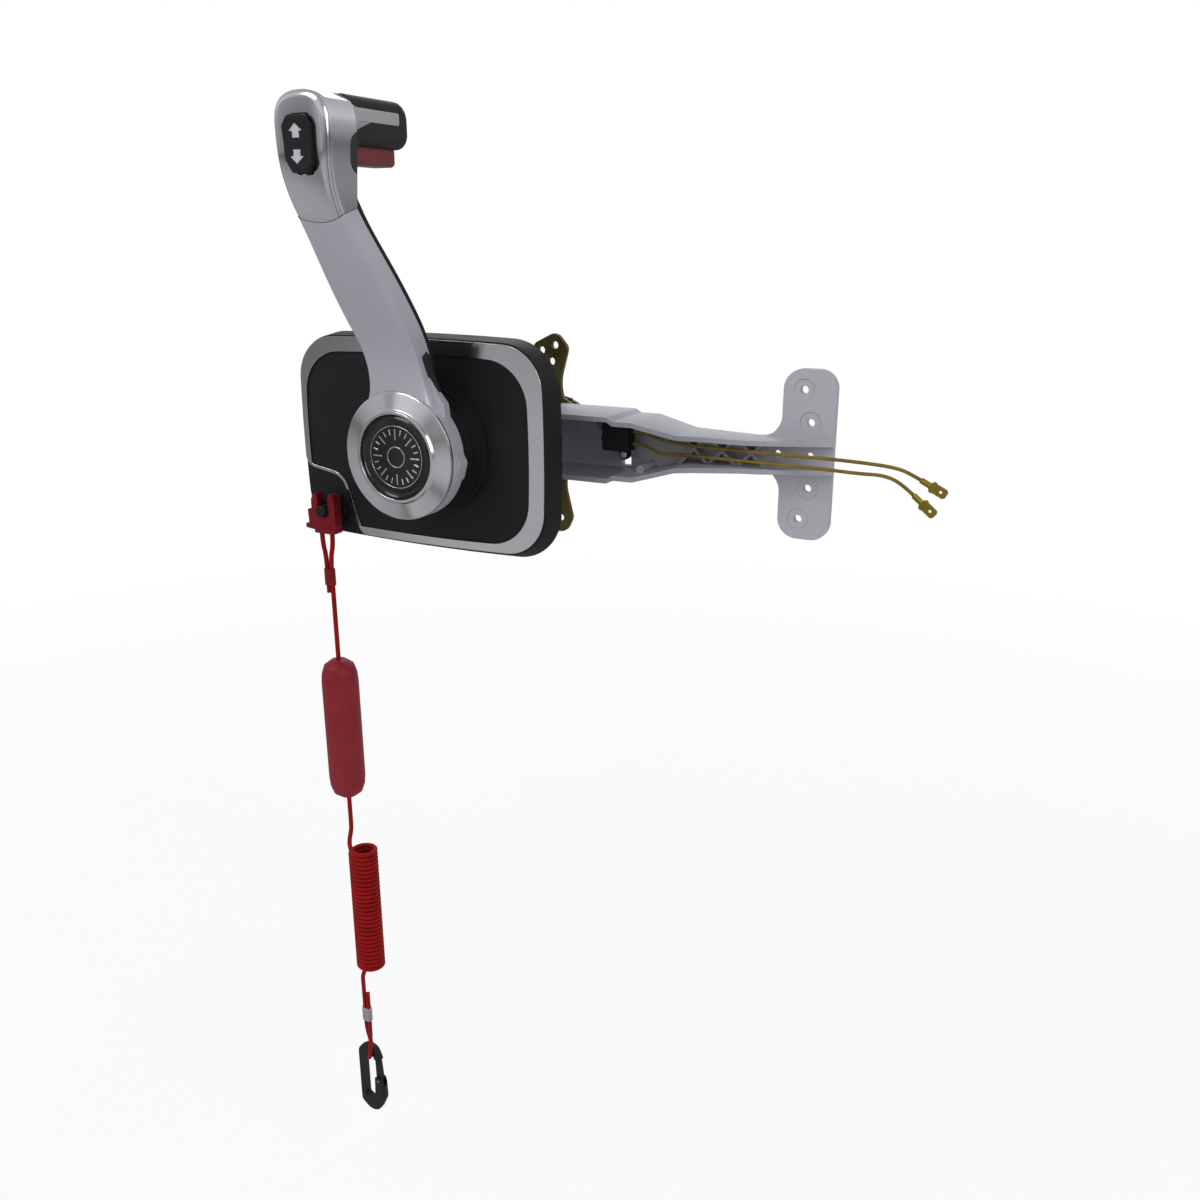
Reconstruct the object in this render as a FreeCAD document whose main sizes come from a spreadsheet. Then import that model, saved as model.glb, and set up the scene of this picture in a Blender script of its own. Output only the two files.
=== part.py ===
import FreeCAD, Part
import math
import os
import re
import Sketcher
from FreeCAD import Rotation, Vector

# Side-mount outboard control: a face plate on a boat's side panel, a shift and throttle lever,
# the gear train and cable bracket behind the panel, and a stop switch with its lanyard.
# The lever's axis is the Y axis, the panel's face is the plane y = 0, and -Y faces the driver.
# Lengths are in millimetres and angles in degrees.

doc = FreeCAD.newDocument("side_mount_control")
sheet = doc.addObject("Spreadsheet::Sheet", "Sizes")

SIZES = [
    ("plate_half_width", 101, "face cover, half width at the panel"),
    ("plate_half_height", 73, "face cover, half height at the panel"),
    ("plate_center_x", -10.5, "face cover, centre to the left of the lever axis"),
    ("plate_corner", 34, "face cover, corner radius at the panel"),
    ("plate_bow", 2.6, "face cover, bow of each long side"),
    ("cover_depth", 15, "face cover, height over the panel"),
    ("cover_draft", 3.6, "face cover, slope of its rim over that height"),
    ("cover_lift", 1.8, "face cover, front outline higher than the one at the panel"),
    ("cover_wall", 2.6, "face cover, wall"),
    ("cover_edge_round", 1.6, "face cover, rounding of the front edge"),
    ("trim_margin", 0.8, "trim, set in from the front edge"),
    ("trim_left", 4.2, "trim, width of the left strip"),
    ("trim_right", 11, "trim, width of the right strip"),
    ("trim_top", 9.6, "trim, width of the top strip"),
    ("trim_bottom", 5.4, "trim, width of the bottom strip"),
    ("trim_strand", 1.9, "trim, width of the strand round the stop switch"),
    ("trim_proud", 1.1, "trim, height over the face"),
    ("trim_sunk", 0.9, "trim, depth of its groove"),
    ("mount_plate_side_inset", 23, "mounting plate, half width less than the cover's"),
    ("mount_plate_top_inset", 15, "mounting plate, half height less than the cover's"),
    ("mount_plate_thick", 4, "mounting plate, thickness"),
    ("mount_plate_corner", 16, "mounting plate, corner radius"),
    ("mount_hole_radius", 3.3, "panel bolt holes, radius for M6"),
    ("mount_hole_from_side", 12, "panel bolt holes, in from the mounting plate's side"),
    ("mount_hole_from_top", 10, "panel bolt holes, in from the mounting plate's top"),
    ("shaft_radius", 8, "lever shaft, radius"),
    ("shaft_front", 48.2, "lever shaft, reach in front of the panel"),
    ("shaft_thread_radius", 6, "lever shaft, radius of its threaded end"),
    ("shaft_rear", 88, "lever shaft, reach behind the panel"),
    ("running_gap", 0.05, "running fit of shaft and pins in their bushes"),
    ("bush_wall", 3, "bushes, wall"),
    ("collar_radius", 44.8, "stepped collar, radius at the face"),
    ("collar_step", 1.7, "stepped collar, each step inwards"),
    ("collar_front", 32.6, "stepped collar, reach in front of the panel"),
    ("hub_radius", 41, "lever hub, radius"),
    ("hub_back", 38, "lever hub, back face of the casting"),
    ("hub_front", 50, "lever hub, front face of the casting"),
    ("hub_lip_radius", 29, "hub ring, radius of its lip"),
    ("hub_cap_radius", 25.2, "hub cap, radius"),
    ("hub_lip_front", 55.8, "hub ring, front of its lip"),
    ("hub_rim_front", 52, "hub ring, front of its rim"),
    ("crank_start", 56, "lever, height where it bends outwards"),
    ("crank_end", 158, "lever, height where it stands upright again"),
    ("head_front", 122, "lever, front of the head"),
    ("lever_depth", 14.5, "lever casting, thickness front to back"),
    ("back_cover_depth", 3.6, "lever back cover, thickness"),
    ("lever_top", 207.5, "lever, height of its top"),
    ("head_length", 64.5, "lever head, from the lever's top down to the seam beside its middle"),
    ("seam_dip", 6, "seam, how far its middle dips under its sides"),
    ("seam_rise", 0.3, "seam, rise for each millimetre towards the grip"),
    ("waist_half", 20.8, "lever, half width above the hub"),
    ("neck_half", 16, "lever, half width at the seam"),
    ("head_half", 18.8, "lever, half width of the head"),
    ("head_back", 97, "lever head, back face"),
    ("lever_edge_round", 3.4, "lever, rounding of its front edges"),
    ("grip_end", 41, "grip, end near the panel"),
    ("grip_half", 14, "grip, half width"),
    ("grip_from_top", 0.5, "grip, top under the lever's top"),
    ("grip_height", 26, "grip, height"),
    ("grip_round", 5, "grip, rounding along its edges"),
    ("grip_neck", 31, "grip, how far its neck reaches down behind the head"),
    ("inlay_height", 6.6, "grip inlay, height"),
    ("inlay_depth", 1.2, "grip inlay, depth of its groove"),
    ("inlay_from_top", 10, "grip inlay, middle under the grip's top"),
    ("trigger_half", 8.5, "lock trigger, half width"),
    ("trigger_drop", 9.5, "lock trigger, height under the grip"),
    ("trigger_length", 39, "lock trigger, length along the grip"),
    ("trigger_travel", 5, "lock trigger, travel up into the grip"),
    ("slide_gap", 0.4, "gap round sliding and rocking pieces"),
    ("rocker_half_width", 9.4, "trim rocker, half width"),
    ("rocker_half_height", 14.6, "trim rocker, half height"),
    ("rocker_from_top", 27.5, "trim rocker, middle under the lever's top"),
    ("rocker_depth", 6, "trim rocker, depth in the head"),
    ("rocker_proud", 3.8, "trim rocker, height over the head"),
    ("rocker_pin_radius", 1.5, "trim rocker, pin radius"),
    ("gear_module", 2, "gear train, module"),
    ("pinion_teeth", 14, "pinion, teeth"),
    ("sector_teeth", 32, "cable arm sectors, teeth of the whole circle"),
    ("pinion_front", 73, "pinion, front face behind the panel"),
    ("pinion_length", 12.5, "pinion, face width"),
    ("arm_thick", 3, "cable arms, sheet thickness"),
    ("throttle_arm_front", 74, "throttle arm, front face"),
    ("shift_arm_front", 80.5, "shift arm, front face"),
    ("arm_pin_radius", 5, "cable arm pivot, radius"),
    ("cable_hole_radius", 2.6, "cable arms, radius of the cable holes"),
    ("housing_half_height", 38, "bracket housing, half height"),
    ("housing_end", 46, "bracket housing, end on each side of the shaft"),
    ("bracket_back", 72, "bracket, back face behind the panel"),
    ("bracket_floor", 5, "bracket, floor and cable plate thickness"),
    ("bracket_wall", 3.2, "bracket, wall thickness"),
    ("channel_front", 26, "bracket channel, front edge near the housing"),
    ("channel_half", 21.8, "bracket channel, half height near the housing"),
    ("channel_end_half", 10.6, "bracket channel, half height at the cable plate"),
    ("cable_plate_left", 214, "cable plate, left edge"),
    ("cable_plate_right", 248.4, "cable plate, right edge"),
    ("cable_plate_half", 54.7, "cable plate, half height"),
    ("clamp_outer_x", 227.5, "cable clamp holes, outer one"),
    ("clamp_outer_z", 41.6, "cable clamp holes, outer one"),
    ("clamp_inner_x", 232.7, "cable clamp holes, inner one"),
    ("clamp_inner_z", 21.1, "cable clamp holes, inner one"),
    ("clamp_hole_radius", 2.6, "cable clamp holes, radius"),
    ("rib_width", 1.8, "bracket, rib width"),
    ("rib_height", 9, "bracket, rib height"),
    ("detent_radius", 22, "detent disc, radius"),
    ("detent_front", 44, "detent disc, front face"),
    ("detent_thick", 6, "detent disc, thickness"),
    ("ball_radius", 3, "detent ball, radius"),
    ("switch_width", 19.5, "neutral switch, width"),
    ("switch_height", 19.5, "neutral switch, height"),
    ("switch_depth", 10, "neutral switch, depth"),
    ("switch_left", 96, "neutral switch, left side"),
    ("switch_bottom", -3.7, "neutral switch, underside"),
    ("switch_front", 46, "neutral switch, front face"),
    ("plunger_radius", 2, "neutral switch plunger, radius"),
    ("wire_diameter", 2.3, "switch leads, diameter"),
    ("wire_depth", 50, "switch leads, depth behind the panel"),
    ("tab_width", 6.3, "spade terminals, width of the tab"),
    ("tab_thick", 0.8, "spade terminals, thickness of the tab"),
    ("stop_from_side", 27.5, "stop switch, axis in from the cover's left side"),
    ("stop_from_bottom", 24, "stop switch, axis up from the cover's lower edge"),
    ("stop_nut_radius", 11, "stop switch, nut radius"),
    ("stop_nut_thick", 3.4, "stop switch, nut thickness"),
    ("stop_barrel_radius", 7, "stop switch, barrel radius"),
    ("stop_barrel_front", 21.6, "stop switch, front of the barrel"),
    ("stop_button_radius", 4.2, "stop switch, button radius"),
    ("stop_button_front", 33, "stop switch, front of the button"),
    ("stop_button_travel", 3, "stop switch, button travel"),
    ("clip_gap", 0.4, "lanyard clip, gap to the button"),
    ("clip_half_width", 10, "lanyard clip, half width"),
    ("clip_thick", 7.6, "lanyard clip, thickness"),
    ("clip_leg_height", 13.5, "lanyard clip, height of its legs"),
    ("clip_drop", 14, "lanyard clip, depth under the button"),
    ("cord_from_stop", 0.6, "lanyard, line it hangs on to the right of the stop switch"),
    ("cord_y", -26, "lanyard, line it hangs on"),
    ("cord_diameter", 3.4, "lanyard, cord diameter"),
    ("ferrule_radius", 3.9, "lanyard, ferrule radius"),
    ("upper_ferrule_top", -92, "lanyard, top of the upper ferrule"),
    ("ferrule_length", 12, "lanyard, ferrule length"),
    ("float_top", -161, "float, top"),
    ("float_bottom", -271, "float, bottom"),
    ("float_radius", 13.4, "float, radius"),
    ("coil_top", -308, "coil, top"),
    ("coil_bottom", -427, "coil, bottom"),
    ("coil_radius", 11.2, "coil, outer radius"),
    ("lower_ferrule_top", -463, "lanyard, top of the lower ferrule"),
    ("hook_top", -499, "snap hook, top"),
    ("hook_bottom", -563, "snap hook, bottom"),
    ("hook_half_width", 12, "snap hook, half width"),
    ("hook_thick", 6.4, "snap hook, thickness"),
    ("hook_bar", 5.6, "snap hook, width of its bars"),
]

for row, (alias, value, note) in enumerate(SIZES, 1):
    sheet.set("A%d" % row, note)
    sheet.set("B%d" % row, str(value))
    sheet.setAlias("B%d" % row, alias)
doc.recompute()
ALIASES = [alias for alias, value, note in SIZES]
PIECES = []


def size(alias):
    return float(sheet.get(alias))


# Places that follow from several sizes.
def seam_height():
    return size("lever_top") - size("head_length")


def grip_top():
    return size("lever_top") - size("grip_from_top")


def grip_bottom():
    return grip_top() - size("grip_height")


def mount_half_width():
    return size("plate_half_width") - size("mount_plate_side_inset")


def mount_half_height():
    return size("plate_half_height") - size("mount_plate_top_inset")


def stop_x():
    return size("plate_center_x") - size("plate_half_width") + size("stop_from_side")


def stop_z():
    return size("stop_from_bottom") - size("plate_half_height")


def rocker_middle():
    return size("lever_top") - size("rocker_from_top")


STOP_X = "plate_center_x - plate_half_width + stop_from_side"
STOP_Z = "stop_from_bottom - plate_half_height"
CORD_X = STOP_X + " + cord_from_stop"


# Expressions for sketches: each size's name is looked up in the sheet.
def bound(text):
    return re.sub(r"[a-z]+(?:_[a-z]+)+", lambda word: "Sizes." + word.group(0), text)


def bind(target, prop, text):
    target.setExpression(prop, bound(text))


def origin_plane(body, role):
    return [item for item in body.Origin.OriginFeatures if item.Role == role][0]


def new_body(label):
    body = doc.addObject("PartDesign::Body", label)
    body.Label = label
    PIECES.append(body)
    return body


def new_sketch(body, role, height="0"):
    sketch = body.newObject("Sketcher::SketchObject", body.Label + "_sketch")
    sketch.AttachmentSupport = (origin_plane(body, role), [""])
    sketch.MapMode = "FlatFace"
    bind(sketch, "AttachmentOffset.Base.z", height)
    return sketch


# A closed polygon whose every corner is held by two named distances.
def draw_polygon(sketch, corners):
    count = len(corners)
    first = sketch.GeometryCount
    start = [Vector(20 * math.cos(6.28 * i / count), 20 * math.sin(6.28 * i / count),
                    0) for i in range(count)]
    for i in range(count):
        sketch.addGeometry(Part.LineSegment(start[i], start[(i + 1) % count]), False)
    for i, (across, along) in enumerate(corners):
        sketch.addConstraint(Sketcher.Constraint("Coincident", first + i, 2, first + (i + 1) % count, 1))
        held = sketch.addConstraint(Sketcher.Constraint("DistanceX", -1, 1, first + i, 1, 1.0))
        bind(sketch, "Constraints[%d]" % held, across)
        held = sketch.addConstraint(Sketcher.Constraint("DistanceY", -1, 1, first + i, 1, 1.0))
        bind(sketch, "Constraints[%d]" % held, along)


def draw_circle(sketch, across, along, radius):
    index = sketch.addGeometry(Part.Circle(Vector(5, 5, 0), Vector(0, 0, 1), 2.0), False)
    held = sketch.addConstraint(Sketcher.Constraint("Radius", index, 2.0))
    bind(sketch, "Constraints[%d]" % held, radius)
    held = sketch.addConstraint(Sketcher.Constraint("DistanceX", -1, 1, index, 3, 5.0))
    bind(sketch, "Constraints[%d]" % held, across)
    held = sketch.addConstraint(Sketcher.Constraint("DistanceY", -1, 1, index, 3, 5.0))
    bind(sketch, "Constraints[%d]" % held, along)


def place(body, x="0", y="0", z="0"):
    bind(body, "Placement.Base.x", x)
    bind(body, "Placement.Base.y", y)
    bind(body, "Placement.Base.z", z)


def revolve(body, sketch, axis):
    turn = body.newObject("PartDesign::Revolution", body.Label + "_turn")
    turn.Profile = sketch
    turn.ReferenceAxis = (sketch, [axis])
    turn.Angle = 360
    return turn


# A piece turned about an axis parallel to Y; its corners are (y, radius).
def turned(label, corners, x="0", z="0"):
    body = new_body(label)
    sketch = new_sketch(body, "YZ_Plane")
    draw_polygon(sketch, corners)
    revolve(body, sketch, "H_Axis")
    place(body, x, "0", z)
    return body


# A piece turned about an upright axis; its corners are (radius, z).
def turned_upright(label, corners, x="0", y="0", z="0"):
    body = new_body(label)
    sketch = new_sketch(body, "XZ_Plane")
    draw_polygon(sketch, corners)
    revolve(body, sketch, "V_Axis")
    place(body, x, y, z)
    return body


# Flat outlines lie in planes that face the driver, the side or the top.
def facing(y):
    return lambda across, up: Vector(across, y, up)


def sideways(x):
    return lambda depth, up: Vector(x, depth, up)


def flat(z):
    return lambda across, depth: Vector(across, depth, z)


# A closed outline with rounded corners: each corner is (u, v) or (u, v, radius).
def outline(corners, plane):
    points = [Vector(c[0], c[1], 0) for c in corners]
    radii = [c[2] if len(c) > 2 else 0 for c in corners]
    count = len(points)
    entry, leave, middle = [], [], []
    for i in range(count):
        here = points[i]
        back = (points[i - 1] - here).normalize()
        ahead = (points[(i + 1) % count] - here).normalize()
        half = back.getAngle(ahead) / 2
        reach = radii[i] / math.tan(half) if radii[i] else 0
        inward = radii[i] / math.sin(half) - radii[i] if radii[i] else 0
        entry.append(here + back * reach)
        leave.append(here + ahead * reach)
        middle.append(here + (back + ahead).normalize() * inward if radii[i] else here)
    to_space = lambda p: plane(p.x, p.y)
    edges = []
    for i in range(count):
        if radii[i]:
            edges.append(Part.Arc(to_space(entry[i]), to_space(middle[i]), to_space(leave[i])).toShape())
        following = entry[(i + 1) % count]
        if (following - leave[i]).Length > 1e-6:
            edges.append(Part.LineSegment(to_space(leave[i]), to_space(following)).toShape())
    return Part.Wire(edges)


def prism(wire, direction):
    return Part.Face(wire).extrude(direction)


def tall_box(x0, x1, y0, y1, z0, z1):
    return Part.makeBox(x1 - x0, y1 - y0, z1 - z0, Vector(x0, y0, z0))


def rod(radius, start, end):
    return Part.makeCylinder(radius, (end - start).Length, start, end - start)


def round_edges(shape, radius, chosen):
    edges = [edge for edge in shape.Edges if chosen(edge)]
    return shape.makeFillet(radius, edges)


def piece(label, shape):
    item = doc.addObject("Part::Feature", label)
    item.Label = label
    item.Shape = shape
    PIECES.append(item)
    return item


# Where two circles cross, the crossing farther up and to the right.
def circle_cross(center_a, radius_a, center_b, radius_b):
    line = center_b - center_a
    gap = line.Length
    along = (gap * gap + radius_a * radius_a - radius_b * radius_b) / (2 * gap)
    aside = math.sqrt(radius_a * radius_a - along * along)
    foot = center_a + line * (along / gap)
    across = Vector(-line.y, line.x, 0) * (aside / gap)
    return max(foot + across, foot - across, key=lambda p: p.x + p.y)


# A pillow outline round (cx, cz): four shallow arcs joined by tangent corner arcs.
# An inset moves every arc inwards by the same distance, keeping its centre.
def pillow(half_w, half_h, corner, bow, cx, cz, y, inset=0):
    radius_top = (half_w * half_w + bow * bow) / (2 * bow)
    radius_side = (half_h * half_h + bow * bow) / (2 * bow)
    top_center = Vector(0, half_h - radius_top, 0)
    side_center = Vector(half_w - radius_side, 0, 0)
    bend = circle_cross(top_center, radius_top - corner, side_center, radius_side - corner)
    from_top = bend + (bend - top_center).normalize() * (corner - inset)
    from_side = bend + (bend - side_center).normalize() * (corner - inset)
    outmost = bend + (from_top + from_side - bend * 2).normalize() * (corner - inset)
    spot = lambda x, z: Vector(cx + x, y, cz + z)
    arc = lambda a, b, c: Part.Arc(a, b, c).toShape()
    edges = []
    for sx, sz in ((1, 1), (-1, 1), (-1, -1), (1, -1)):
        edges.append(arc(spot(sx * from_side.x, sz * from_side.y), spot(sx * outmost.x, sz * outmost.y),
                         spot(sx * from_top.x, sz * from_top.y)))
    for sign in (1, -1):
        edges.append(arc(spot(from_top.x, sign * from_top.y), spot(0, sign * (half_h - inset)),
                         spot(-from_top.x, sign * from_top.y)))
        edges.append(arc(spot(sign * from_side.x, from_side.y), spot(sign * (half_w - inset), 0),
                         spot(sign * from_side.x, -from_side.y)))
    return Part.Wire(Part.__sortEdges__(edges))


# Face cover: a moulded shell with a sloped rim, over the mounting plate.
cover_depth = size("cover_depth")
half_width = size("plate_half_width")
half_height = size("plate_half_height")
center_x = size("plate_center_x")
corner = size("plate_corner")
bow = size("plate_bow")
draft = size("cover_draft")
wall = size("cover_wall")


def cover_block(shrink, front):
    lift = size("cover_lift") * front / cover_depth
    back_wire = pillow(half_width, half_height, corner, bow, center_x, 0, 0, shrink)
    front_wire = pillow(half_width, half_height, corner, bow, center_x, lift, -front, shrink + draft)
    return Part.makeLoft([back_wire, front_wire], True, True)


# The trim's shape in the face: a pillow ring that leaves the stop switch's corner outside.
def trim_keep(shift, y, depth):
    left = center_x - half_width + draft + size("trim_margin")
    low = -half_height + draft + size("cover_lift")
    path = [(left, half_height + 20), (left, low + 47, 9), (stop_x() + 8, low + 41.5, 13),
            (stop_x() + 21.5, low + 0.8, 12), (stop_x() + 80, low - 6), (half_width + 40, low - 6),
            (half_width + 40, half_height + 20)]
    face = Part.Face(outline(path, facing(y)))
    if shift:
        face = face.makeOffset2D(-shift)
    return face.extrude(Vector(0, depth, 0))


def trim_outer(y, depth):
    margin = size("trim_margin")
    wire = pillow(half_width, half_height, corner, bow, center_x, size("cover_lift"), y, draft + margin)
    return prism(wire, Vector(0, depth, 0)).common(trim_keep(0, y, depth))


def trim_inner(y, depth):
    margin = size("trim_margin")
    left = center_x - half_width + draft + margin + size("trim_left")
    right = center_x + half_width - draft - margin - size("trim_right")
    top = half_height + size("cover_lift") - draft - margin - size("trim_top")
    bottom = -half_height + size("cover_lift") + draft + margin + size("trim_bottom")
    wire = pillow((right - left) / 2, (top - bottom) / 2, corner - draft, bow,
                  (left + right) / 2, (top + bottom) / 2, y)
    return prism(wire, Vector(0, depth, 0)).common(trim_keep(size("trim_strand"), y, depth))


def make_face_cover():
    shell = round_edges(cover_block(0, cover_depth), size("cover_edge_round"),
                        lambda edge: abs(edge.CenterOfMass.y + cover_depth) < 0.01)
    hollow = cover_block(wall, cover_depth - wall)
    face = -cover_depth
    groove = trim_outer(face, size("trim_sunk")).cut(trim_inner(face, size("trim_sunk")))
    axis_hole = rod(size("collar_radius") - 8, Vector(0, face - 1, 0), Vector(0, 1, 0))
    stop = Vector(stop_x(), 0, stop_z())
    stop_hole = rod(size("stop_barrel_radius") + 0.1, stop + Vector(0, face - 1, 0), stop)
    posts = []
    for sx in (-1, 1):
        for sz in (-1, 1):
            spot = Vector(sx * (mount_half_width() - 26), 0, sz * (mount_half_height() - 8))
            front = spot + Vector(0, face + wall - 0.5, 0)
            back = spot + Vector(0, -size("mount_plate_thick"), 0)
            posts.append(rod(3.5, front, back))
    return shell.cut(hollow).cut(groove).cut(axis_hole).cut(stop_hole).fuse(posts).removeSplitter()


def make_bezel_trim():
    back = -cover_depth + size("trim_sunk")
    depth = -(size("trim_sunk") + size("trim_proud"))
    return trim_outer(back, depth).cut(trim_inner(back, depth))


piece("face_cover", make_face_cover())
piece("bezel_trim", make_bezel_trim())


# Mounting plate: flat plate on the panel under the cover, with the panel bolt holes.
def make_mounting_plate():
    w = mount_half_width()
    t = mount_half_height()
    r = size("mount_plate_corner")
    thick = size("mount_plate_thick")
    plate = prism(outline([(-w, -t, r), (w, -t, r), (w, t, r), (-w, t, r)], facing(0)), Vector(0, -thick, 0))
    plate = plate.cut(rod(size("shaft_radius") + size("running_gap") + size("bush_wall"),
                          Vector(0, -thick - 1, 0), Vector(0, 1, 0)))
    for sx in (-1, 1):
        for sz in (-1, 1):
            spot = Vector(sx * (w - size("mount_hole_from_side")), 0, sz * (t - size("mount_hole_from_top")))
            through = Vector(0, thick + 1, 0)
            plate = plate.cut(rod(size("mount_hole_radius"), spot - through, spot + through))
            post = Vector(sx * (size("housing_end") - 8), 0, sz * (size("housing_half_height") - 8))
            plate = plate.cut(rod(2.6, post - through, post + through))
    return plate


piece("mounting_plate", make_mounting_plate())


# Stepped collar: a moulded stack of rings round the lever's hub.
turned("hub_collar", [
    ("-cover_depth", "shaft_radius + running_gap + bush_wall"),
    ("-cover_depth", "collar_radius"),
    ("-cover_depth - 4.2", "collar_radius"),
    ("-cover_depth - 4.2", "collar_radius - collar_step"),
    ("-cover_depth - 8.4", "collar_radius - collar_step"),
    ("-cover_depth - 8.4", "collar_radius - 2 * collar_step"),
    ("-cover_depth - 12.6", "collar_radius - 2 * collar_step"),
    ("-cover_depth - 12.6", "collar_radius - 3 * collar_step"),
    ("-collar_front", "collar_radius - 3 * collar_step - 0.6"),
    ("-collar_front", "shaft_radius + running_gap + bush_wall"),
])

# Front bush: a flanged bronze sleeve that carries the shaft in the collar and the mounting plate.
turned("front_bush", [
    ("-collar_front + 0.6", "shaft_radius + running_gap"),
    ("-collar_front + 0.6", "shaft_radius + running_gap + bush_wall"),
    ("0", "shaft_radius + running_gap + bush_wall"),
    ("0", "shaft_radius + running_gap + bush_wall + 3"),
    ("2", "shaft_radius + running_gap + bush_wall + 3"),
    ("2", "shaft_radius + running_gap"),
])

# Rear bush: a sleeve in the bracket's floor.
turned("rear_bush", [
    ("bracket_back - bracket_floor - 8", "shaft_radius + running_gap"),
    ("bracket_back - bracket_floor - 8", "shaft_radius + running_gap + bush_wall + 2"),
    ("bracket_back - bracket_floor - 6", "shaft_radius + running_gap + bush_wall + 2"),
    ("bracket_back - bracket_floor - 6", "shaft_radius + running_gap + bush_wall"),
    ("bracket_back", "shaft_radius + running_gap + bush_wall"),
    ("bracket_back", "shaft_radius + running_gap"),
])


# Bracket: one casting with the gear housing, the lead channel and the cable plate.
def channel_front_edge(depth_of_floor):
    return [(size("housing_end"), size("channel_front")), (130, size("channel_front"), 20), (165, 38, 20),
            (205, 47, 20), (size("cable_plate_right") + 1, depth_of_floor - 3),
            (size("cable_plate_right") + 1, -5),
            (size("housing_end"), -5)]


def channel_outline(inset, right, y):
    near = size("channel_half") - inset
    far = size("channel_end_half") - inset
    step = near - 2.4
    top = [(size("housing_end") - 6, near), (109, near, 2), (113, step, 2), (127, step, 6),
           (154, far + 1.6, 10),
           (195, far, 20), (right, far)]
    return outline(top + [(c[0], -c[1]) + tuple(c[2:]) for c in reversed(top)], facing(y))


def make_bracket():
    back = size("bracket_back")
    floor = size("bracket_floor")
    end = size("housing_end")
    tall = size("housing_half_height")
    thin = size("bracket_wall")
    right = size("cable_plate_right")
    box = [(-end, -tall, 12), (end, -tall, 12), (end, tall, 12), (-end, tall, 12)]
    inner = [(-end + thin, -tall + thin, 9), (end - thin, -tall + thin, 9), (end - thin, tall - thin, 9),
             (-end + thin, tall - thin, 9)]
    housing = prism(outline(box, facing(0)), Vector(0, back, 0))
    hollow = prism(outline(inner, facing(-1)), Vector(0, back - floor + 1, 0))
    channel = prism(channel_outline(0, right, 0), Vector(0, back, 0))
    channel = channel.cut(prism(outline(channel_front_edge(back - floor), flat(-60)), Vector(0, 0, 120)))
    trough = prism(channel_outline(thin, right + 5, channel_trough_start()),
                   Vector(0, back - floor - channel_trough_start(), 0))
    half = size("cable_plate_half")
    left = size("cable_plate_left")
    neck = size("channel_end_half")
    tee = [(195, neck), (left, neck + 0.4, 14), (left, half, 13), (right, half, 12), (right, -half, 12),
           (left, -half, 13), (left, -neck - 0.4, 14), (195, -neck)]
    tee_plate = prism(outline(tee, facing(back - floor)), Vector(0, floor, 0))
    body = housing.fuse([channel, tee_plate]).cut(hollow).cut(trough)
    return body.fuse(bracket_ribs() + bracket_bosses()).cut(bracket_holes()).removeSplitter()


def channel_trough_start():
    return size("channel_front") - 6


# Crossed ribs stiffen the channel's floor.
def bracket_ribs():
    floor_face = size("bracket_back") - size("bracket_floor")
    ribs = []
    for start, stop, reach_a, reach_b in ((147, 167, 11, 9.6), (167, 187, 9.6, 9), (187, 207, 9, 8.6)):
        for sign in (1, -1):
            a = Vector(start, 0, -sign * reach_a)
            b = Vector(stop, 0, sign * reach_b)
            aside = (b - a).normalize().cross(Vector(0, 1, 0)) * (size("rib_width") / 2)
            corners = [a + aside, b + aside, b - aside, a - aside, a + aside]
            lift = Vector(0, floor_face - size("rib_height"), 0)
            ribs.append(prism(Part.makePolygon([c + lift for c in corners]),
                              Vector(0, size("rib_height") + 1, 0)))
    return ribs


def bracket_bosses():
    floor_face = size("bracket_back") - size("bracket_floor")
    bosses = [rod(size("shaft_radius") + 7, Vector(0, floor_face - 6, 0), Vector(0, floor_face + 1, 0)),
              rod(size("arm_pin_radius") + 5, Vector(gear_distance(), floor_face - 8, 0),
                  Vector(gear_distance(), floor_face + 1, 0))]
    for sz in (-1, 1):
        spot = Vector(124.5, 0, sz * 14.4)
        bosses.append(rod(2.8, spot + Vector(0, size("switch_front") - 1, 0), spot +
                          Vector(0, floor_face + 1, 0)))
    for spot in switch_screw_spots():
        bosses.append(rod(3.2, spot + Vector(0, switch_back(), 0), spot + Vector(0, floor_face + 1, 0)))
    for sx in (-1, 1):
        for sz in (-1, 1):
            post = Vector(sx * (size("housing_end") - 8), 0, sz * (size("housing_half_height") - 8))
            bosses.append(rod(6, post, post + Vector(0, floor_face + 1, 0)))
    return bosses


def bracket_holes():
    back = size("bracket_back")
    holes = [rod(size("shaft_radius") + size("running_gap") + size("bush_wall"), Vector(0, 50, 0),
                 Vector(0, back + 1, 0)),
             rod(size("arm_pin_radius"), Vector(gear_distance(), 50, 0),
                 Vector(gear_distance(), back + 1, 0))]
    spots = [(size("clamp_outer_x"), size("clamp_outer_z")), (size("clamp_inner_x"), size("clamp_inner_z"))]
    for x, z in spots:
        for sz in (-1, 1):
            holes.append(rod(size("clamp_hole_radius"), Vector(x, 60, sz * z), Vector(x, back + 1, sz * z)))
            holes.append(rod(7, Vector(x, back - size("bracket_floor") - 1, sz * z),
                             Vector(x, back - size("bracket_floor") + 0.5, sz * z)))
    for x in (212, 233.4):
        holes.append(rod(2.4, Vector(x, 60, 0), Vector(x, back + 1, 0)))
    holes.append(tall_box(101, 108, 60, back + 1, -17, -11))
    holes.append(rod(4, Vector(0, size("detent_front") + size("detent_thick") / 2, 20),
                     Vector(0, size("detent_front") + size("detent_thick") / 2, 60)))
    for spot in switch_screw_spots():
        holes.append(rod(1.2, spot + Vector(0, switch_back() - 1, 0), spot + Vector(0, switch_back() + 7, 0)))
    for sx in (-1, 1):
        for sz in (-1, 1):
            post = Vector(sx * (size("housing_end") - 8), 0, sz * (size("housing_half_height") - 8))
            holes.append(rod(2.5, post - Vector(0, 1, 0), post + Vector(0, 14, 0)))
    return holes


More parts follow.
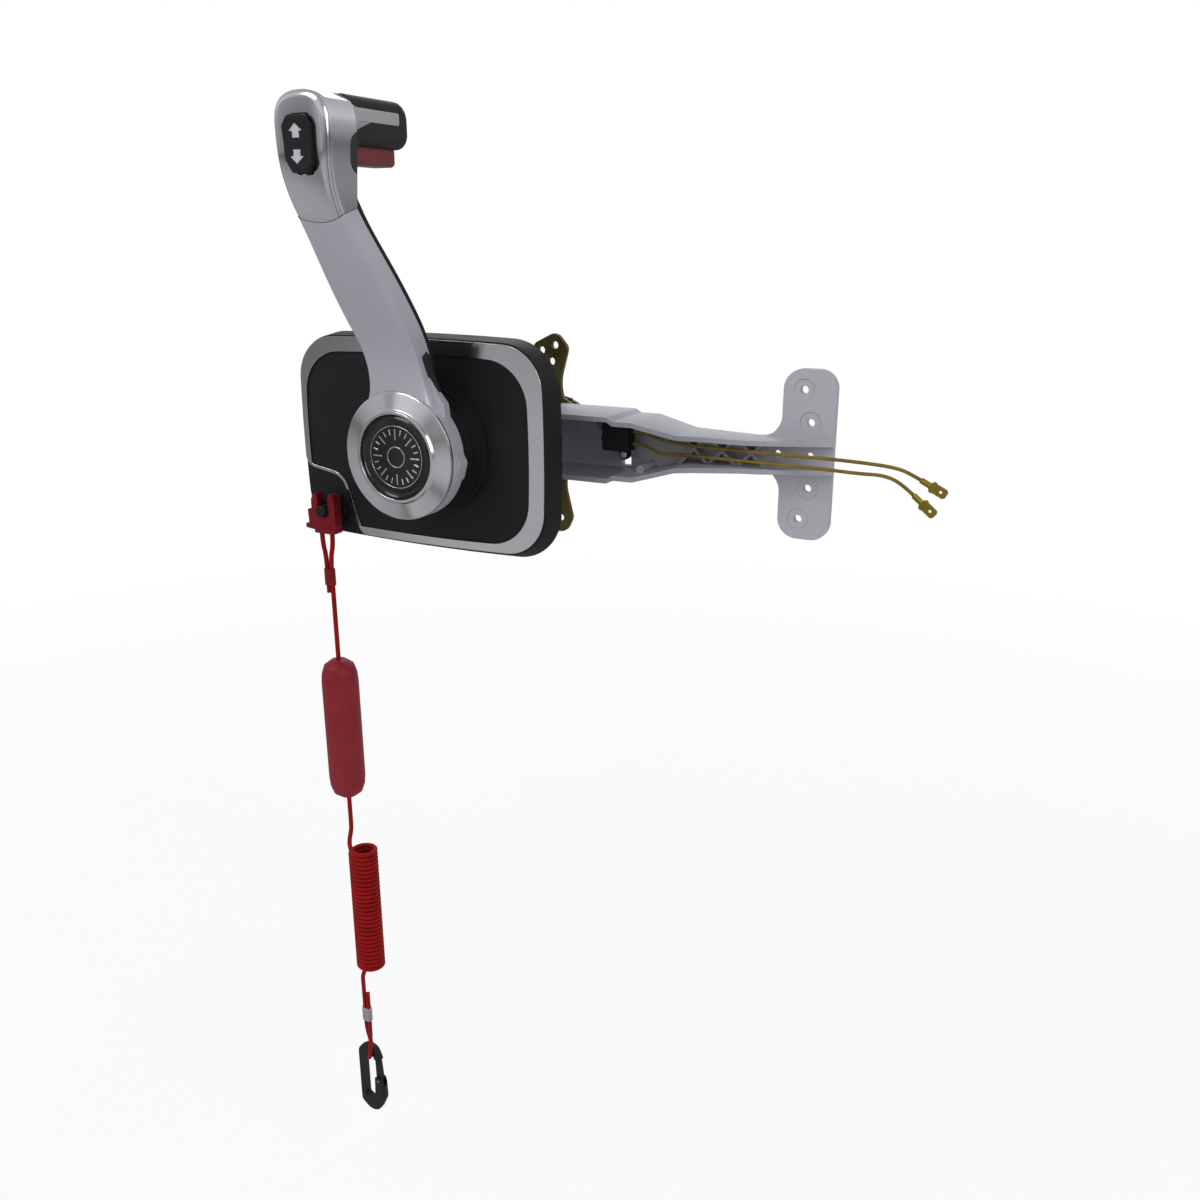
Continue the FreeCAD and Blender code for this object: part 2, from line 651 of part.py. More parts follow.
def gear_distance():
    return size("gear_module") * (size("pinion_teeth") + size("sector_teeth")) / 2


def switch_back():
    return size("switch_front") + size("switch_depth")


def switch_screw_spots():
    left = size("switch_left")
    low = size("switch_bottom")
    return [Vector(left - 3, 0, low + size("switch_height") - 3),
            Vector(left + size("switch_width") - 6, 0, low - 3)]


piece("cable_bracket", make_bracket())


# Screws share one form: a shank with a pan head towards the driver.
def screw(spot, shank, length, head, head_height):
    body = rod(shank, spot, spot + Vector(0, length, 0))
    top = rod(head, spot - Vector(0, head_height, 0), spot)
    top = round_edges(top, head_height * 0.45, lambda edge: abs(edge.CenterOfMass.y - spot.y +
                                                                head_height) < 0.01)
    return body.fuse(top).removeSplitter()


def make_housing_screws():
    screws = []
    for sx in (-1, 1):
        for sz in (-1, 1):
            post = Vector(sx * (size("housing_end") - 8), -size("mount_plate_thick"),
                          sz * (size("housing_half_height") - 8))
            screws.append(screw(post, 2.5, 16, 4.6, 2.8))
    return Part.makeCompound(screws)


piece("housing_screws", make_housing_screws())

# Lever shaft and what turns with it behind the panel.
turned("lever_shaft", [
    ("-shaft_front", "0"),
    ("-shaft_front", "shaft_thread_radius - 0.6"),
    ("-shaft_front + 0.6", "shaft_thread_radius"),
    ("-hub_front + 6", "shaft_thread_radius"),
    ("-hub_front + 6", "shaft_radius"),
    ("shaft_rear - 0.8", "shaft_radius"),
    ("shaft_rear", "shaft_radius - 0.8"),
    ("shaft_rear", "0"),
])


# One tooth's half angle at a radius: the involute from the base circle, thinned for backlash.
def tooth_half_angle(radius, teeth, module):
    pitch = module * teeth / 2
    base = pitch * math.cos(math.radians(20))
    backlash = 0.24
    half = math.pi / (2 * teeth) - backlash / (2 * pitch)
    involute = lambda angle: math.tan(angle) - angle
    at = math.acos(min(1.0, base / radius))
    return half + involute(math.radians(20)) - involute(at)


def gear_wire(teeth, module, first_angle, y, center):
    pitch = module * teeth / 2
    root = pitch - 1.22 * module
    tip = pitch + 0.82 * module
    base = pitch * math.cos(math.radians(20))
    levels = [max(base, root) + (tip - max(base, root)) * share for share in (0, 0.3, 0.65, 1)]
    points = []
    for tooth in range(teeth):
        middle = first_angle + tooth * 2 * math.pi / teeth
        flank = [(root, tooth_half_angle(levels[0], teeth, module))]
        flank += [(radius, tooth_half_angle(radius, teeth, module)) for radius in levels]
        rising = [(radius, middle - half) for radius, half in flank]
        falling = [(radius, middle + half) for radius, half in reversed(flank)]
        points += [Vector(center + r * math.cos(a), y, r * math.sin(a)) for r, a in rising + falling]
    return Part.makePolygon(points + [points[0]])


def make_pinion():
    front = size("pinion_front")
    gear = prism(gear_wire(int(size("pinion_teeth")), size("gear_module"), 0, front, 0),
                 Vector(0, size("pinion_length"), 0))
    return gear.cut(rod(size("shaft_radius"), Vector(0, front - 1, 0),
                        Vector(0, front + size("pinion_length") + 1, 0)))


piece("drive_pinion", make_pinion())

turned("pinion_clip", [
    ("pinion_front + pinion_length", "shaft_radius"),
    ("pinion_front + pinion_length", "shaft_radius + 3"),
    ("pinion_front + pinion_length + 1.2", "shaft_radius + 3"),
    ("pinion_front + pinion_length + 1.2", "shaft_radius"),
])


def make_detent_disc():
    front = size("detent_front")
    thick = size("detent_thick")
    disc = rod(size("detent_radius"), Vector(0, front, 0), Vector(0, front + thick, 0))
    hub = rod(size("shaft_radius") + 4, Vector(0, front - 5, 0), Vector(0, front + thick + 3, 0))
    disc = disc.fuse(hub)
    for degrees in (60, 90, 120):
        spot = Vector(math.cos(math.radians(degrees)), 0, math.sin(math.radians(degrees)))
        spot = spot * (size("detent_radius") + 1.4)
        disc = disc.cut(rod(size("ball_radius"), spot + Vector(0, front - 1, 0), spot +
                            Vector(0, front + thick + 1, 0)))
    bore = rod(size("shaft_radius"), Vector(0, front - 6, 0), Vector(0, front + thick + 4, 0))
    return disc.cut(bore).removeSplitter()


piece("detent_disc", make_detent_disc())


# Detent ball, its spring and the screw that holds them in the housing's top wall.
detent_y = size("detent_front") + size("detent_thick") / 2
ball_height = size("detent_radius") + size("ball_radius") + 0.2
piece("detent_ball", Part.makeSphere(size("ball_radius"), Vector(0, detent_y, ball_height)))


def make_detent_spring():
    low = ball_height + size("ball_radius") + 0.35
    high = size("housing_half_height") + 0.1
    wire_radius = 0.35
    turns = 4
    pitch = (high - low - 2 * wire_radius) / turns
    path = Part.makeHelix(pitch, pitch * turns, size("ball_radius") - 1)
    circle = Part.Wire(Part.Circle(Vector(size("ball_radius") - 1, 0, 0), Vector(0, 1, 0),
                                   wire_radius).toShape())
    spring = Part.Wire(path).makePipeShell([circle], True, True)
    spring.translate(Vector(0, detent_y, low + wire_radius))
    return spring


def make_detent_screw():
    low = ball_height + 1.2
    top = size("housing_half_height") + 4
    outer = rod(4, Vector(0, detent_y, low), Vector(0, detent_y, top))
    cap = rod(6, Vector(0, detent_y, size("housing_half_height")), Vector(0, detent_y, top))
    bore = rod(size("ball_radius") + 0.1, Vector(0, detent_y, low - 1),
               Vector(0, detent_y, size("housing_half_height") + 0.4))
    slot = tall_box(-6, 6, detent_y - 0.6, detent_y + 0.6, top - 1.4, top + 1)
    return outer.fuse(cap).cut(bore).cut(slot).removeSplitter()


piece("detent_spring", make_detent_spring())
piece("detent_screw", make_detent_screw())


# Cable arms: stamped plates with a toothed sector, on one pin behind the bracket.
def sector_plate(front, corners):
    teeth = int(size("sector_teeth"))
    center = gear_distance()
    thick = Vector(0, size("arm_thick"), 0)
    half_tooth = math.pi / teeth
    gear = prism(gear_wire(teeth, size("gear_module"), math.pi + half_tooth, front, center), thick)
    reach = size("gear_module") * teeth / 2 + 6
    wedge = outline([(center + 8, -24), (center + 8, 24), (center - reach * 0.55, reach * 0.78),
                     (center - reach, reach * 0.4), (center - reach, -reach * 0.4),
                     (center - reach * 0.55, -reach * 0.78)], facing(front - 1))
    fan = gear.common(prism(wedge, Vector(0, 6, 0)))
    hub = rod(24.5, Vector(center, front, 0), Vector(center, front, 0) + thick)
    blade = prism(outline(corners, facing(front)), thick)
    bore = rod(size("arm_pin_radius") + size("running_gap"), Vector(center, front - 1, 0),
               Vector(center, front + 6, 0))
    return fan.fuse([hub, blade]).cut(bore)


def cable_holes(front, spots):
    radius = size("cable_hole_radius")
    return [rod(radius, Vector(x, front - 1, z), Vector(x, front + size("arm_thick") + 1, z)) for x,
            z in spots]


def make_throttle_arm():
    front = size("throttle_arm_front")
    blade = [(56, 10), (48.2, 34, 30), (55.4, 60, 6), (46, 70.5, 6), (26.5, 61, 6), (34, 34, 30), (30, 10)]
    arm = sector_plate(front, blade)
    return arm.cut(cable_holes(front, [(34.5, 57.4), (45.2, 61.3), (42.4, 50)])).removeSplitter()


def make_shift_arm():
    front = size("shift_arm_front")
    blade = [(30, -10), (33.6, -36, 30), (30.6, -66, 6), (38, -74.5, 7), (49.5, -73.5, 7), (54.5, -63, 7),
             (47.8, -36, 30), (58, -10)]
    arm = sector_plate(front, blade)
    return arm.cut(cable_holes(front, [(44.8, -63.5), (37.4, -66), (41.6, -52)])).removeSplitter()


piece("throttle_arm", make_throttle_arm())
piece("shift_arm", make_shift_arm())

# Arm pivot: a shouldered pin pressed into the bracket, a spacer between the arms, and a clip.
turned("arm_pivot_pin", [
    ("bracket_back - bracket_floor - 8", "0"),
    ("bracket_back - bracket_floor - 8", "arm_pin_radius"),
    ("bracket_back", "arm_pin_radius"),
    ("bracket_back", "arm_pin_radius + 4"),
    ("throttle_arm_front - 0.3", "arm_pin_radius + 4"),
    ("throttle_arm_front - 0.3", "arm_pin_radius"),
    ("shift_arm_front + arm_thick + 2", "arm_pin_radius"),
    ("shift_arm_front + arm_thick + 2", "0"),
], x="gear_module * (pinion_teeth + sector_teeth) / 2")

turned("arm_spacer", [
    ("throttle_arm_front + arm_thick + 0.3", "arm_pin_radius"),
    ("throttle_arm_front + arm_thick + 0.3", "arm_pin_radius + 3.5"),
    ("shift_arm_front - 0.3", "arm_pin_radius + 3.5"),
    ("shift_arm_front - 0.3", "arm_pin_radius"),
], x="gear_module * (pinion_teeth + sector_teeth) / 2")

turned("pivot_clip", [
    ("shift_arm_front + arm_thick + 0.3", "arm_pin_radius"),
    ("shift_arm_front + arm_thick + 0.3", "arm_pin_radius + 3"),
    ("shift_arm_front + arm_thick + 1.5", "arm_pin_radius + 3"),
    ("shift_arm_front + arm_thick + 1.5", "arm_pin_radius"),
], x="gear_module * (pinion_teeth + sector_teeth) / 2")


# Neutral safety switch in the channel, with its sprung plunger, two screws and two leads.
def make_neutral_switch():
    left = size("switch_left")
    low = size("switch_bottom")
    front = size("switch_front")
    back = switch_back()
    w = size("switch_width")
    t = size("switch_height")
    case = prism(outline([(left, low, 1), (left + w, low, 1), (left + w, low + t, 1), (left, low + t, 1)],
                         facing(front)), Vector(0, back - front, 0))
    ears = []
    for spot in switch_screw_spots():
        ears.append(rod(3.6, spot + Vector(0, back - 4, 0), spot + Vector(0, back, 0)))
    ears.append(tall_box(left - 3, left + 2, back - 4, back, low + t - 6.6, low + t))
    ears.append(tall_box(left + w - 9.6, left + w - 2.4, back - 4, back, low - 3, low + 1))
    for z in lead_heights():
        ears.append(tall_box(left + w - 1, left + w + 2, size("wire_depth") - 1.8, size("wire_depth") + 1.8,
                             z - 1.8, z + 1.8))
    case = case.fuse(ears)
    for spot in switch_screw_spots():
        case = case.cut(rod(1.7, spot + Vector(0, back - 9, 0), spot + Vector(0, back + 1, 0)))
    port = Vector(left - 1, front + 5, low + 7)
    case = case.cut(rod(size("plunger_radius") + 0.15, port, port + Vector(5, 0, 0)))
    return case.removeSplitter()


def lead_heights():
    low = size("switch_bottom")
    return (low + 13.6, low + 5.4)


def make_switch_plunger():
    start = Vector(size("switch_left") - 2.6, size("switch_front") + 5, size("switch_bottom") + 7)
    stem = rod(size("plunger_radius"), start, start + Vector(4.4, 0, 0))
    return round_edges(stem, 0.8, lambda edge: abs(edge.CenterOfMass.x - start.x) < 0.01)


def make_switch_screws():
    front = switch_back() - 4
    return Part.makeCompound([screw(spot + Vector(0, front, 0), 1.2, 10, 2.6,
                                    1.8) for spot in switch_screw_spots()])


piece("neutral_switch", make_neutral_switch())
piece("switch_plunger", make_switch_plunger())
piece("switch_screws", make_switch_screws())


# A cord's tube: straight runs joined by tangent arcs as large as the runs allow.
def cord_tube(label, route, diameter):
    points = [Vector(*p) for p in route]
    edges = []
    radii = []
    leave = points[0]
    for i in range(1, len(points) - 1):
        back = points[i - 1] - points[i]
        ahead = points[i + 1] - points[i]
        reach = 0.45 * min(back.Length, ahead.Length)
        half_turn = (math.pi - back.getAngle(ahead)) / 2
        radius = reach / math.tan(half_turn)
        radii.append(round(radius, 1))
        back.normalize()
        ahead.normalize()
        entry = points[i] + back * reach
        exit_point = points[i] + ahead * reach
        sag = radius / math.cos(half_turn) - radius
        middle = points[i] + (back + ahead).normalize() * sag
        edges.append(Part.LineSegment(leave, entry).toShape())
        edges.append(Part.Arc(entry, middle, exit_point).toShape())
        leave = exit_point
    edges.append(Part.LineSegment(leave, points[-1]).toShape())
    path = Part.Wire(edges)
    ring = Part.Wire(Part.Circle(points[0], points[1] - points[0], diameter / 2).toShape())
    tube = path.makePipeShell([ring], True, False)
    expected = math.pi * diameter * diameter / 4 * path.Length
    print(label, "length %.1f" % path.Length, "radii", radii, "volume ratio %.4f" % (tube.Volume / expected))
    piece(label, tube)


lead_start = size("switch_left") + size("switch_width") + 2
lead_y = size("wire_depth")
upper_lead, lower_lead = lead_heights()
UPPER_LEAD = [(lead_start, lead_y, upper_lead), (125, lead_y, upper_lead), (137.5, lead_y, 5.4),
              (154, lead_y, 3.7), (178, lead_y, 3.4), (218, lead_y, 2.8), (256, lead_y, 2.7),
              (276, lead_y, 2.0), (288, lead_y, 1.2), (298, lead_y, -0.6), (307, lead_y, -5.2)]
LOWER_LEAD = [(lead_start, lead_y, lower_lead), (126, lead_y, lower_lead), (137, lead_y, -4.0),
              (148, lead_y, -3.2), (162, lead_y, -3.0), (182, lead_y, -3.4), (218, lead_y, -3.6),
              (250, lead_y, -4.0), (270, lead_y, -4.7), (285, lead_y, -4.3), (295.6, lead_y, -8.2),
              (303.5, lead_y, -14.8)]
cord_tube("upper_lead", UPPER_LEAD, size("wire_diameter"))
cord_tube("lower_lead", LOWER_LEAD, size("wire_diameter"))


# Spade terminal: a crimped barrel and a flat tab with a hole, in line with the lead's end.
def make_spade(route):
    tip = Vector(*route[-1])
    run = (tip - Vector(*route[-2])).normalize()
    sleeve = rod(size("wire_diameter") / 2 + 0.7, Vector(0, 0, 0), Vector(6.5, 0, 0))
    half = size("tab_width") / 2
    thin = size("tab_thick")
    shoulder = [(6, -1.7), (7.5, -half - 0.5, 0.5), (9.3, -half - 0.5, 0.5), (9.3, -half), (16.2, -half),
                (17.6, -half + 1.3),
                (17.6, half - 1.3), (16.2, half), (9.3, half), (9.3, half + 0.5, 0.5),
                (7.5, half + 0.5, 0.5), (6, 1.7)]
    tab = prism(outline(shoulder, facing(-thin / 2)), Vector(0, thin, 0))
    tab = tab.cut(rod(0.9, Vector(13.6, -2, 0), Vector(13.6, 2, 0)))
    spade = sleeve.fuse(tab).removeSplitter()
    spade.rotate(Vector(0, 0, 0), Vector(0, 1, 0), -math.degrees(math.atan2(run.z, run.x)))
    spade.translate(tip)
    return spade


piece("upper_spade", make_spade(UPPER_LEAD))
piece("lower_spade", make_spade(LOWER_LEAD))


# The lever's side view: upright at the hub, cranked outwards, upright again at the head.
def offset_path(points, distance):
    moved = []
    for i, point in enumerate(points):
        before = (point - points[i - 1]).normalize() if i else (points[1] - point).normalize()
        after = (points[i + 1] - point).normalize() if i + 1 < len(points) else before
        aside = Vector(before.y, -before.x, 0) + Vector(after.y, -after.x, 0)
        aside.normalize()
        scale = distance / aside.dot(Vector(before.y, -before.x, 0))
        moved.append(point + aside * scale)
    return moved


def lever_line(inset):
    line = [Vector(-size("hub_front"), -60, 0), Vector(-size("hub_front"), size("crank_start"), 0),
            Vector(-size("head_front"), size("crank_end"), 0), Vector(-size("head_front"), 260, 0)]
    return offset_path(line, inset)


def lever_band(front_inset, back_inset):
    bend_low = 70
    bend_high = 60
    front = lever_line(front_inset)
    back = lever_line(back_inset)
    corners = [(front[0].x, front[0].y), (front[1].x, front[1].y, bend_low),
               (front[2].x, front[2].y, bend_high),
               (front[3].x, front[3].y), (back[3].x, back[3].y), (back[2].x, back[2].y,
                                                                  bend_high - back_inset),
               (back[1].x, back[1].y, bend_low + back_inset), (back[0].x, back[0].y)]
    return prism(outline(corners, sideways(-70)), Vector(140, 0, 0))


# The lever's front view between two heights, with curved sides.
def lever_front(sides, y, depth):
    right = Part.BSplineCurve()
    right.interpolate([Vector(x, y, z) for x, z in sides])
    left = Part.BSplineCurve()
    left.interpolate([Vector(-x, y, z) for x, z in sides])
    low = Part.LineSegment(Vector(-sides[0][0], y, sides[0][1]), Vector(sides[0][0], y, sides[0][1]))
    high = Part.LineSegment(Vector(sides[-1][0], y, sides[-1][1]), Vector(-sides[-1][0], y, sides[-1][1]))
    wire = Part.Wire(Part.__sortEdges__([low.toShape(), right.toShape(), high.toShape(), left.toShape()]))
    return prism(wire, Vector(0, depth, 0))


def lever_sides(top):
    waist = size("waist_half")
    neck = size("neck_half")
    return [(waist + 13, 22), (waist + 3.2, 34), (waist, 48), (waist - 0.4, 90), (neck + 2, top - 21),
            (neck, top), (neck + 1.1, top + 20)]


# The seam's upper side: it dips in the middle of the front and rises towards the grip.
def above_seam():
    far = 200
    slope = size("seam_rise")
    line = lever_line(0)
    front_y = line[1].x + (line[2].x - line[1].x) * (seam_height() - line[1].y) / (line[2].y - line[1].y)
    low = seam_height() - size("seam_dip") / 2 - slope * (front_y + far)
    wide = size("neck_half") * 2
    side_height = low + size("seam_dip") * 4
    arc = Part.Arc(Vector(-wide, -far, side_height), Vector(0, -far, low), Vector(wide, -far, side_height))
    rest = Part.makePolygon([Vector(wide, -far, side_height), Vector(wide, -far, 2 * far),
                             Vector(-wide, -far, 2 * far), Vector(-wide, -far, side_height)])
    return prism(Part.Wire([arc.toShape()] + rest.Edges), Vector(0, far, slope * far))


def make_lever_arm():
    seam = seam_height()
    hub_back = -size("hub_back")
    hub_front = -size("hub_front")
    blank = lever_front(lever_sides(seam), -160, 150)
    arm = blank.common(lever_band(0, size("lever_depth"))).common(tall_box(-70, 70, -200, hub_back, -70, 260))
    arm = round_edges(arm, size("lever_edge_round"), lever_front_edge)
    arm = arm.cut(above_seam())
    disc = rod(size("hub_radius"), Vector(0, hub_front, 0), Vector(0, hub_back, 0))
    ear = prism(outline([(27, 12), (38, 8, 3), (43.5, -2, 3), (40, -14, 3), (27, -14)],
                        facing(hub_front + 3)), Vector(0, 9, 0))
    flange = prism(outline([(18, 16), (33, 16), (31, 34, 2), (26, 40, 4), (18, 58)], facing(hub_front + 6)),
                   Vector(0, 6, 0))
    arm = arm.fuse([disc, ear, flange])
    recess = rod(size("hub_cap_radius") + 1.4, Vector(0, hub_front - 20, 0), Vector(0, hub_front + 6, 0))
    seat = rod(size("shaft_radius"), Vector(0, hub_front - 20, 0), Vector(0, 0, 0))
    over = prism(Part.Wire(Part.Circle(Vector(0, hub_front - 20, 0), Vector(0, 1, 0), size("hub_radius") +
                                       0.05).toShape()),
                 Vector(0, 20, 0))
    return arm.cut(over).cut(recess).cut(seat).removeSplitter()


# The two long edges between the lever's front and its sides.
def lever_front_edge(edge):
    box = edge.BoundBox
    front = abs(box.XMin) > 10 and abs(box.XMax) > 10 and box.XMin * box.XMax > 0
    middle = edge.CenterOfMass
    line = lever_line(0)
    slope = (line[2] - line[1])
    share = (middle.z - line[1].y) / slope.y
    expected = line[1].x + slope.x * min(1, max(0, share))
    return front and abs(middle.y - expected) < 5 and box.ZLength > 2


piece("lever_arm", make_lever_arm())


def make_lever_head():
    seam = seam_height()
    neck = size("neck_half")
    wide = size("head_half")
    top = size("lever_top")
    shoulder = top - wide
    low_z = seam - 21
    sides = [(neck + 2, low_z), (neck, seam), (neck + 1.1, seam + (shoulder - seam) * 0.44), (wide, shoulder),
             (wide - 0.9, top - 10), (wide - 4, top - 4.4), (wide - 9.6, top - 1.1)]
    spots = [Vector(x, -160, z) for x, z in sides] + [Vector(0, -160, top)]
    spots += [Vector(-x, -160, z) for x, z in reversed(sides)]
    curve = Part.BSplineCurve()
    curve.interpolate(spots)
    low = Part.LineSegment(spots[-1], spots[0])
    front_view = prism(Part.Wire([curve.toShape(), low.toShape()]), Vector(0, 150, 0))
    back = lever_line(size("lever_depth"))
    slope_back = back[1].x + (back[2].x - back[1].x) * (seam - back[1].y) / (back[2].y - back[1].y)
    side = [(-170, low_z), (-170, 260), (-size("head_back"), 260), (-size("head_back"), seam + 4, 6),
            (slope_back, seam), (slope_back, low_z)]
    side_view = prism(outline(side, sideways(-70)), Vector(140, 0, 0))
    head = front_view.common(side_view).common(lever_band(0, 40))
    head = round_edges(head, size("lever_edge_round") + 1, head_front_edge)
    head = head.common(above_seam())
    pocket = rocker_block(size("slide_gap"), 30)
    pin = rod(size("rocker_pin_radius"), Vector(-wide - 5, rocker_axis_y(), rocker_middle()),
              Vector(wide - 3, rocker_axis_y(), rocker_middle()))
    return head.cut(pocket).cut(pin)


def head_front_edge(edge):
    box = edge.BoundBox
    middle = edge.CenterOfMass
    near_front = box.YMax < -size("head_back") + 4 and box.YMin < -size("head_back") - 8
    return near_front and (abs(middle.x) > 8 or box.XLength > 20) and box.YLength < 20


# Trim rocker: a pad on a pin in the head, with dished ends.
def rocker_axis_y():
    return -size("head_front") + size("rocker_depth") - 2


def rocker_block(gap, front_reach):
    w = size("rocker_half_width") + gap
    t = size("rocker_half_height") + 2 * gap
    middle = rocker_middle()
    back = -size("head_front") + size("rocker_depth") + (2 if gap else 0)
    low = middle - t
    high = middle + t
    corners = [(-w + 1, low + 7, 3), (-w + 6, low, 3), (w - 3.2, low, 2.5), (w, low + 4, 3),
               (w, high - 5, 4), (w - 3, high, 3), (-w + 4.4, high, 3), (-w, high - 5.4, 3)]
    reach = size("rocker_depth") + (front_reach if gap else size("rocker_proud"))
    return prism(outline(corners, facing(back)), Vector(0, -reach, 0))


def make_trim_rocker():
    pad = rocker_block(0, 0)
    front = -size("head_front") - size("rocker_proud")
    dish_radius = size("rocker_half_height") * 6.9
    dish_depth = size("rocker_half_height") * 0.05
    wide = size("rocker_half_width") + 10
    dish = Part.makeCylinder(dish_radius, 2 * wide, Vector(-wide, front - dish_radius + dish_depth,
                                                           rocker_middle()),
                             Vector(1, 0, 0))
    pad = pad.cut(dish)
    pad = pad.makeFillet(0.7, [edge for edge in pad.Edges if edge.BoundBox.YMax < front + 1.6])
    relief = []
    for sz in (-1, 1):
        edge_z = rocker_middle() + sz * size("rocker_half_height")
        block = outline([(rocker_axis_y() + 1.5, rocker_middle() + sz * 3),
                         (-size("head_front") + size("rocker_depth") - 2.6, edge_z + sz * 2),
                         (-size("head_front") + size("rocker_depth") + 2, edge_z + sz * 2),
                         (-size("head_front") + size("rocker_depth") + 2, rocker_middle() + sz * 3)],
                         sideways(-30))
        relief.append(prism(block, Vector(60, 0, 0)))
    pad = pad.cut(relief)
    bore = rod(size("rocker_pin_radius") + size("running_gap"), Vector(-30, rocker_axis_y(), rocker_middle()),
               Vector(30, rocker_axis_y(), rocker_middle()))
    return pad.cut(bore)


piece("lever_head", make_lever_head())
piece("trim_rocker", make_trim_rocker())
piece("rocker_pin", rod(size("rocker_pin_radius"), Vector(-size("rocker_half_width") - 3, rocker_axis_y(),
                                                          rocker_middle()),
                        Vector(size("head_half") - 3.5, rocker_axis_y(), rocker_middle())))


# Back cover: a moulded strip behind the casting, with the disc that faces the collar.
def make_back_cover():
    depth = size("lever_depth")
    thick = size("back_cover_depth")
    hub_back = -size("hub_back")
    sides = [(x - 0.4, z) for x, z in lever_sides(seam_height())] + [(size("neck_half") + 1, 168)]
    strip = lever_front(sides, -160, 150).common(lever_band(0, depth + thick))
    strip = strip.common(tall_box(-60, 60, -200, hub_back + thick, -60, 260))
    strip = strip.cut(lever_band(-30, depth).common(tall_box(-60, 60, -200, hub_back, -60, 260)))
    strip = strip.cut(tall_box(-60, 60, -200, -size("head_back"), seam_height(), 260))
    strip = strip.cut([doc.getObject("lever_arm").Shape, doc.getObject("lever_head").Shape])
    strip = strip.cut(rod(size("hub_radius") - 1, Vector(0, -200, 0), Vector(0, 0, 0)))
    disc = rod(size("hub_radius") - 1, Vector(0, hub_back, 0), Vector(0, -size("collar_front") - 0.4, 0))
    disc = disc.cut(rod(size("shaft_radius") + 0.5, Vector(0, hub_back - 1, 0), Vector(0, 0, 0)))
    return strip.fuse(disc).removeSplitter()


piece("lever_back_cover", make_back_cover())


# Grip: a moulded handle from the head back towards the panel, hollow below for the trigger.
def make_grip():
    head_back = -size("head_back")
    end = -size("grip_end")
    top = grip_top()
    bottom = grip_bottom()
    neck_low = bottom - size("grip_neck")
    side = [(head_back, top), (end, top, 10), (end, bottom, 9), (head_back + 9, bottom, 3),
            (head_back + 5, neck_low + 10, 12), (head_back + 3.6, neck_low), (head_back, neck_low)]
    block = prism(outline(side, sideways(-size("grip_half"))), Vector(2 * size("grip_half"), 0, 0))
    block = round_edges(block, size("grip_round"), lambda edge: grip_long_edge(edge))
    pocket = trigger_block(size("slide_gap"), grip_bottom() - 4, trigger_top() + size("trigger_travel") + 1)
    spring_seat = trigger_spring_seat()
    for side_sign in (-1, 1):
        block = block.cut(inlay_block(side_sign, 0))
    return block.cut(pocket).cut(spring_seat).cut(doc.getObject("lever_back_cover").Shape)


def grip_long_edge(edge):
    box = edge.BoundBox
    return abs(box.XLength) < 0.01 and box.YMax > -size("head_back") + 12 and box.YMin > -size("head_back") - 0.5


def trigger_top():
    return grip_bottom() + 4


def trigger_block(gap, low, high):
    start = -size("head_back") + 9.6
    corners = [(-size("trigger_half") - gap, low), (size("trigger_half") + gap, low),
               (size("trigger_half") + gap, high), (-size("trigger_half") - gap, high)]
    return prism(outline(corners, facing(start - gap)), Vector(0, size("trigger_length") + 2 * gap, 0))


def trigger_middle():
    return Vector(0, -size("head_back") + 9.6 + size("trigger_length") / 2, 0)


def trigger_spring_seat():
    return rod(4.2, trigger_middle() + Vector(0, 0, grip_bottom()), trigger_middle() +
               Vector(0, 0, grip_top() - 5))


def inlay_block(side_sign, extra):
    wide = size("grip_half")
    tall = size("inlay_height") / 2
    middle = grip_top() - size("inlay_from_top")
    face = side_sign * (wide - size("inlay_depth"))
    corners = [(-size("head_back"), middle - tall - 4.6), (-size("head_back") + 7, middle - tall, 8),
               (-size("grip_end") - 11, middle - tall, 1.5),
               (-size("grip_end") - 11, middle + tall, 1.5), (-size("head_back"), middle + tall)]
    return prism(outline(corners, sideways(face)), Vector(side_sign * (size("inlay_depth") + extra), 0, 0))


def make_trigger():
    low = grip_bottom() - size("trigger_drop")
    block = trigger_block(0, low, trigger_top())
    block = round_edges(block, 3, lambda edge: edge.BoundBox.ZLength > 10 and edge.BoundBox.XLength < 0.01 and
                        edge.BoundBox.YMin > -size("head_back") + 20)
    block = block.makeFillet(2.8, [edge for edge in block.Edges if edge.BoundBox.ZMax < low + 0.1])
    well = rod(4.2, trigger_middle() + Vector(0, 0, trigger_top() - 8), trigger_middle() +
               Vector(0, 0, trigger_top() + 1))
    return block.cut(well)


def make_trigger_spring():
    low = trigger_top() - 7.7
    high = grip_top() - 5.3
    wire_radius = 0.5
    turns = 6
    pitch = (high - low - 2 * wire_radius) / turns
    path = Part.makeHelix(pitch, pitch * turns, 3.2)
    circle = Part.Wire(Part.Circle(Vector(3.2, 0, 0), Vector(0, 1, 0), wire_radius).toShape())
    spring = Part.Wire(path).makePipeShell([circle], True, True)
    spring.translate(trigger_middle() + Vector(0, 0, low + wire_radius))
    return spring


piece("grip", make_grip())
piece("grip_inlays", Part.makeCompound([inlay_block(-1, 0.3), inlay_block(1, 0.3)]))
piece("lock_trigger", make_trigger())
piece("trigger_spring", make_trigger_spring())


# Small screws that hold the back cover to the casting.
def make_back_screws():
    screws = []
    line = lever_line(size("lever_depth") + size("back_cover_depth"))
    lean = math.atan2(line[1].x - line[2].x, line[2].y - line[1].y)
    for share in (0.25, 0.62):
        spot = line[1] + (line[2] - line[1]) * share
        body = screw(Vector(0, 0, 0), 1.5, 9, 3, 1.6)
        body.rotate(Vector(0, 0, 0), Vector(0, 0, 1), 180)
        body.rotate(Vector(0, 0, 0), Vector(1, 0, 0), math.degrees(lean))
        body.translate(Vector(0, spot.x, spot.y))
        screws.append(body)
    return Part.makeCompound(screws)


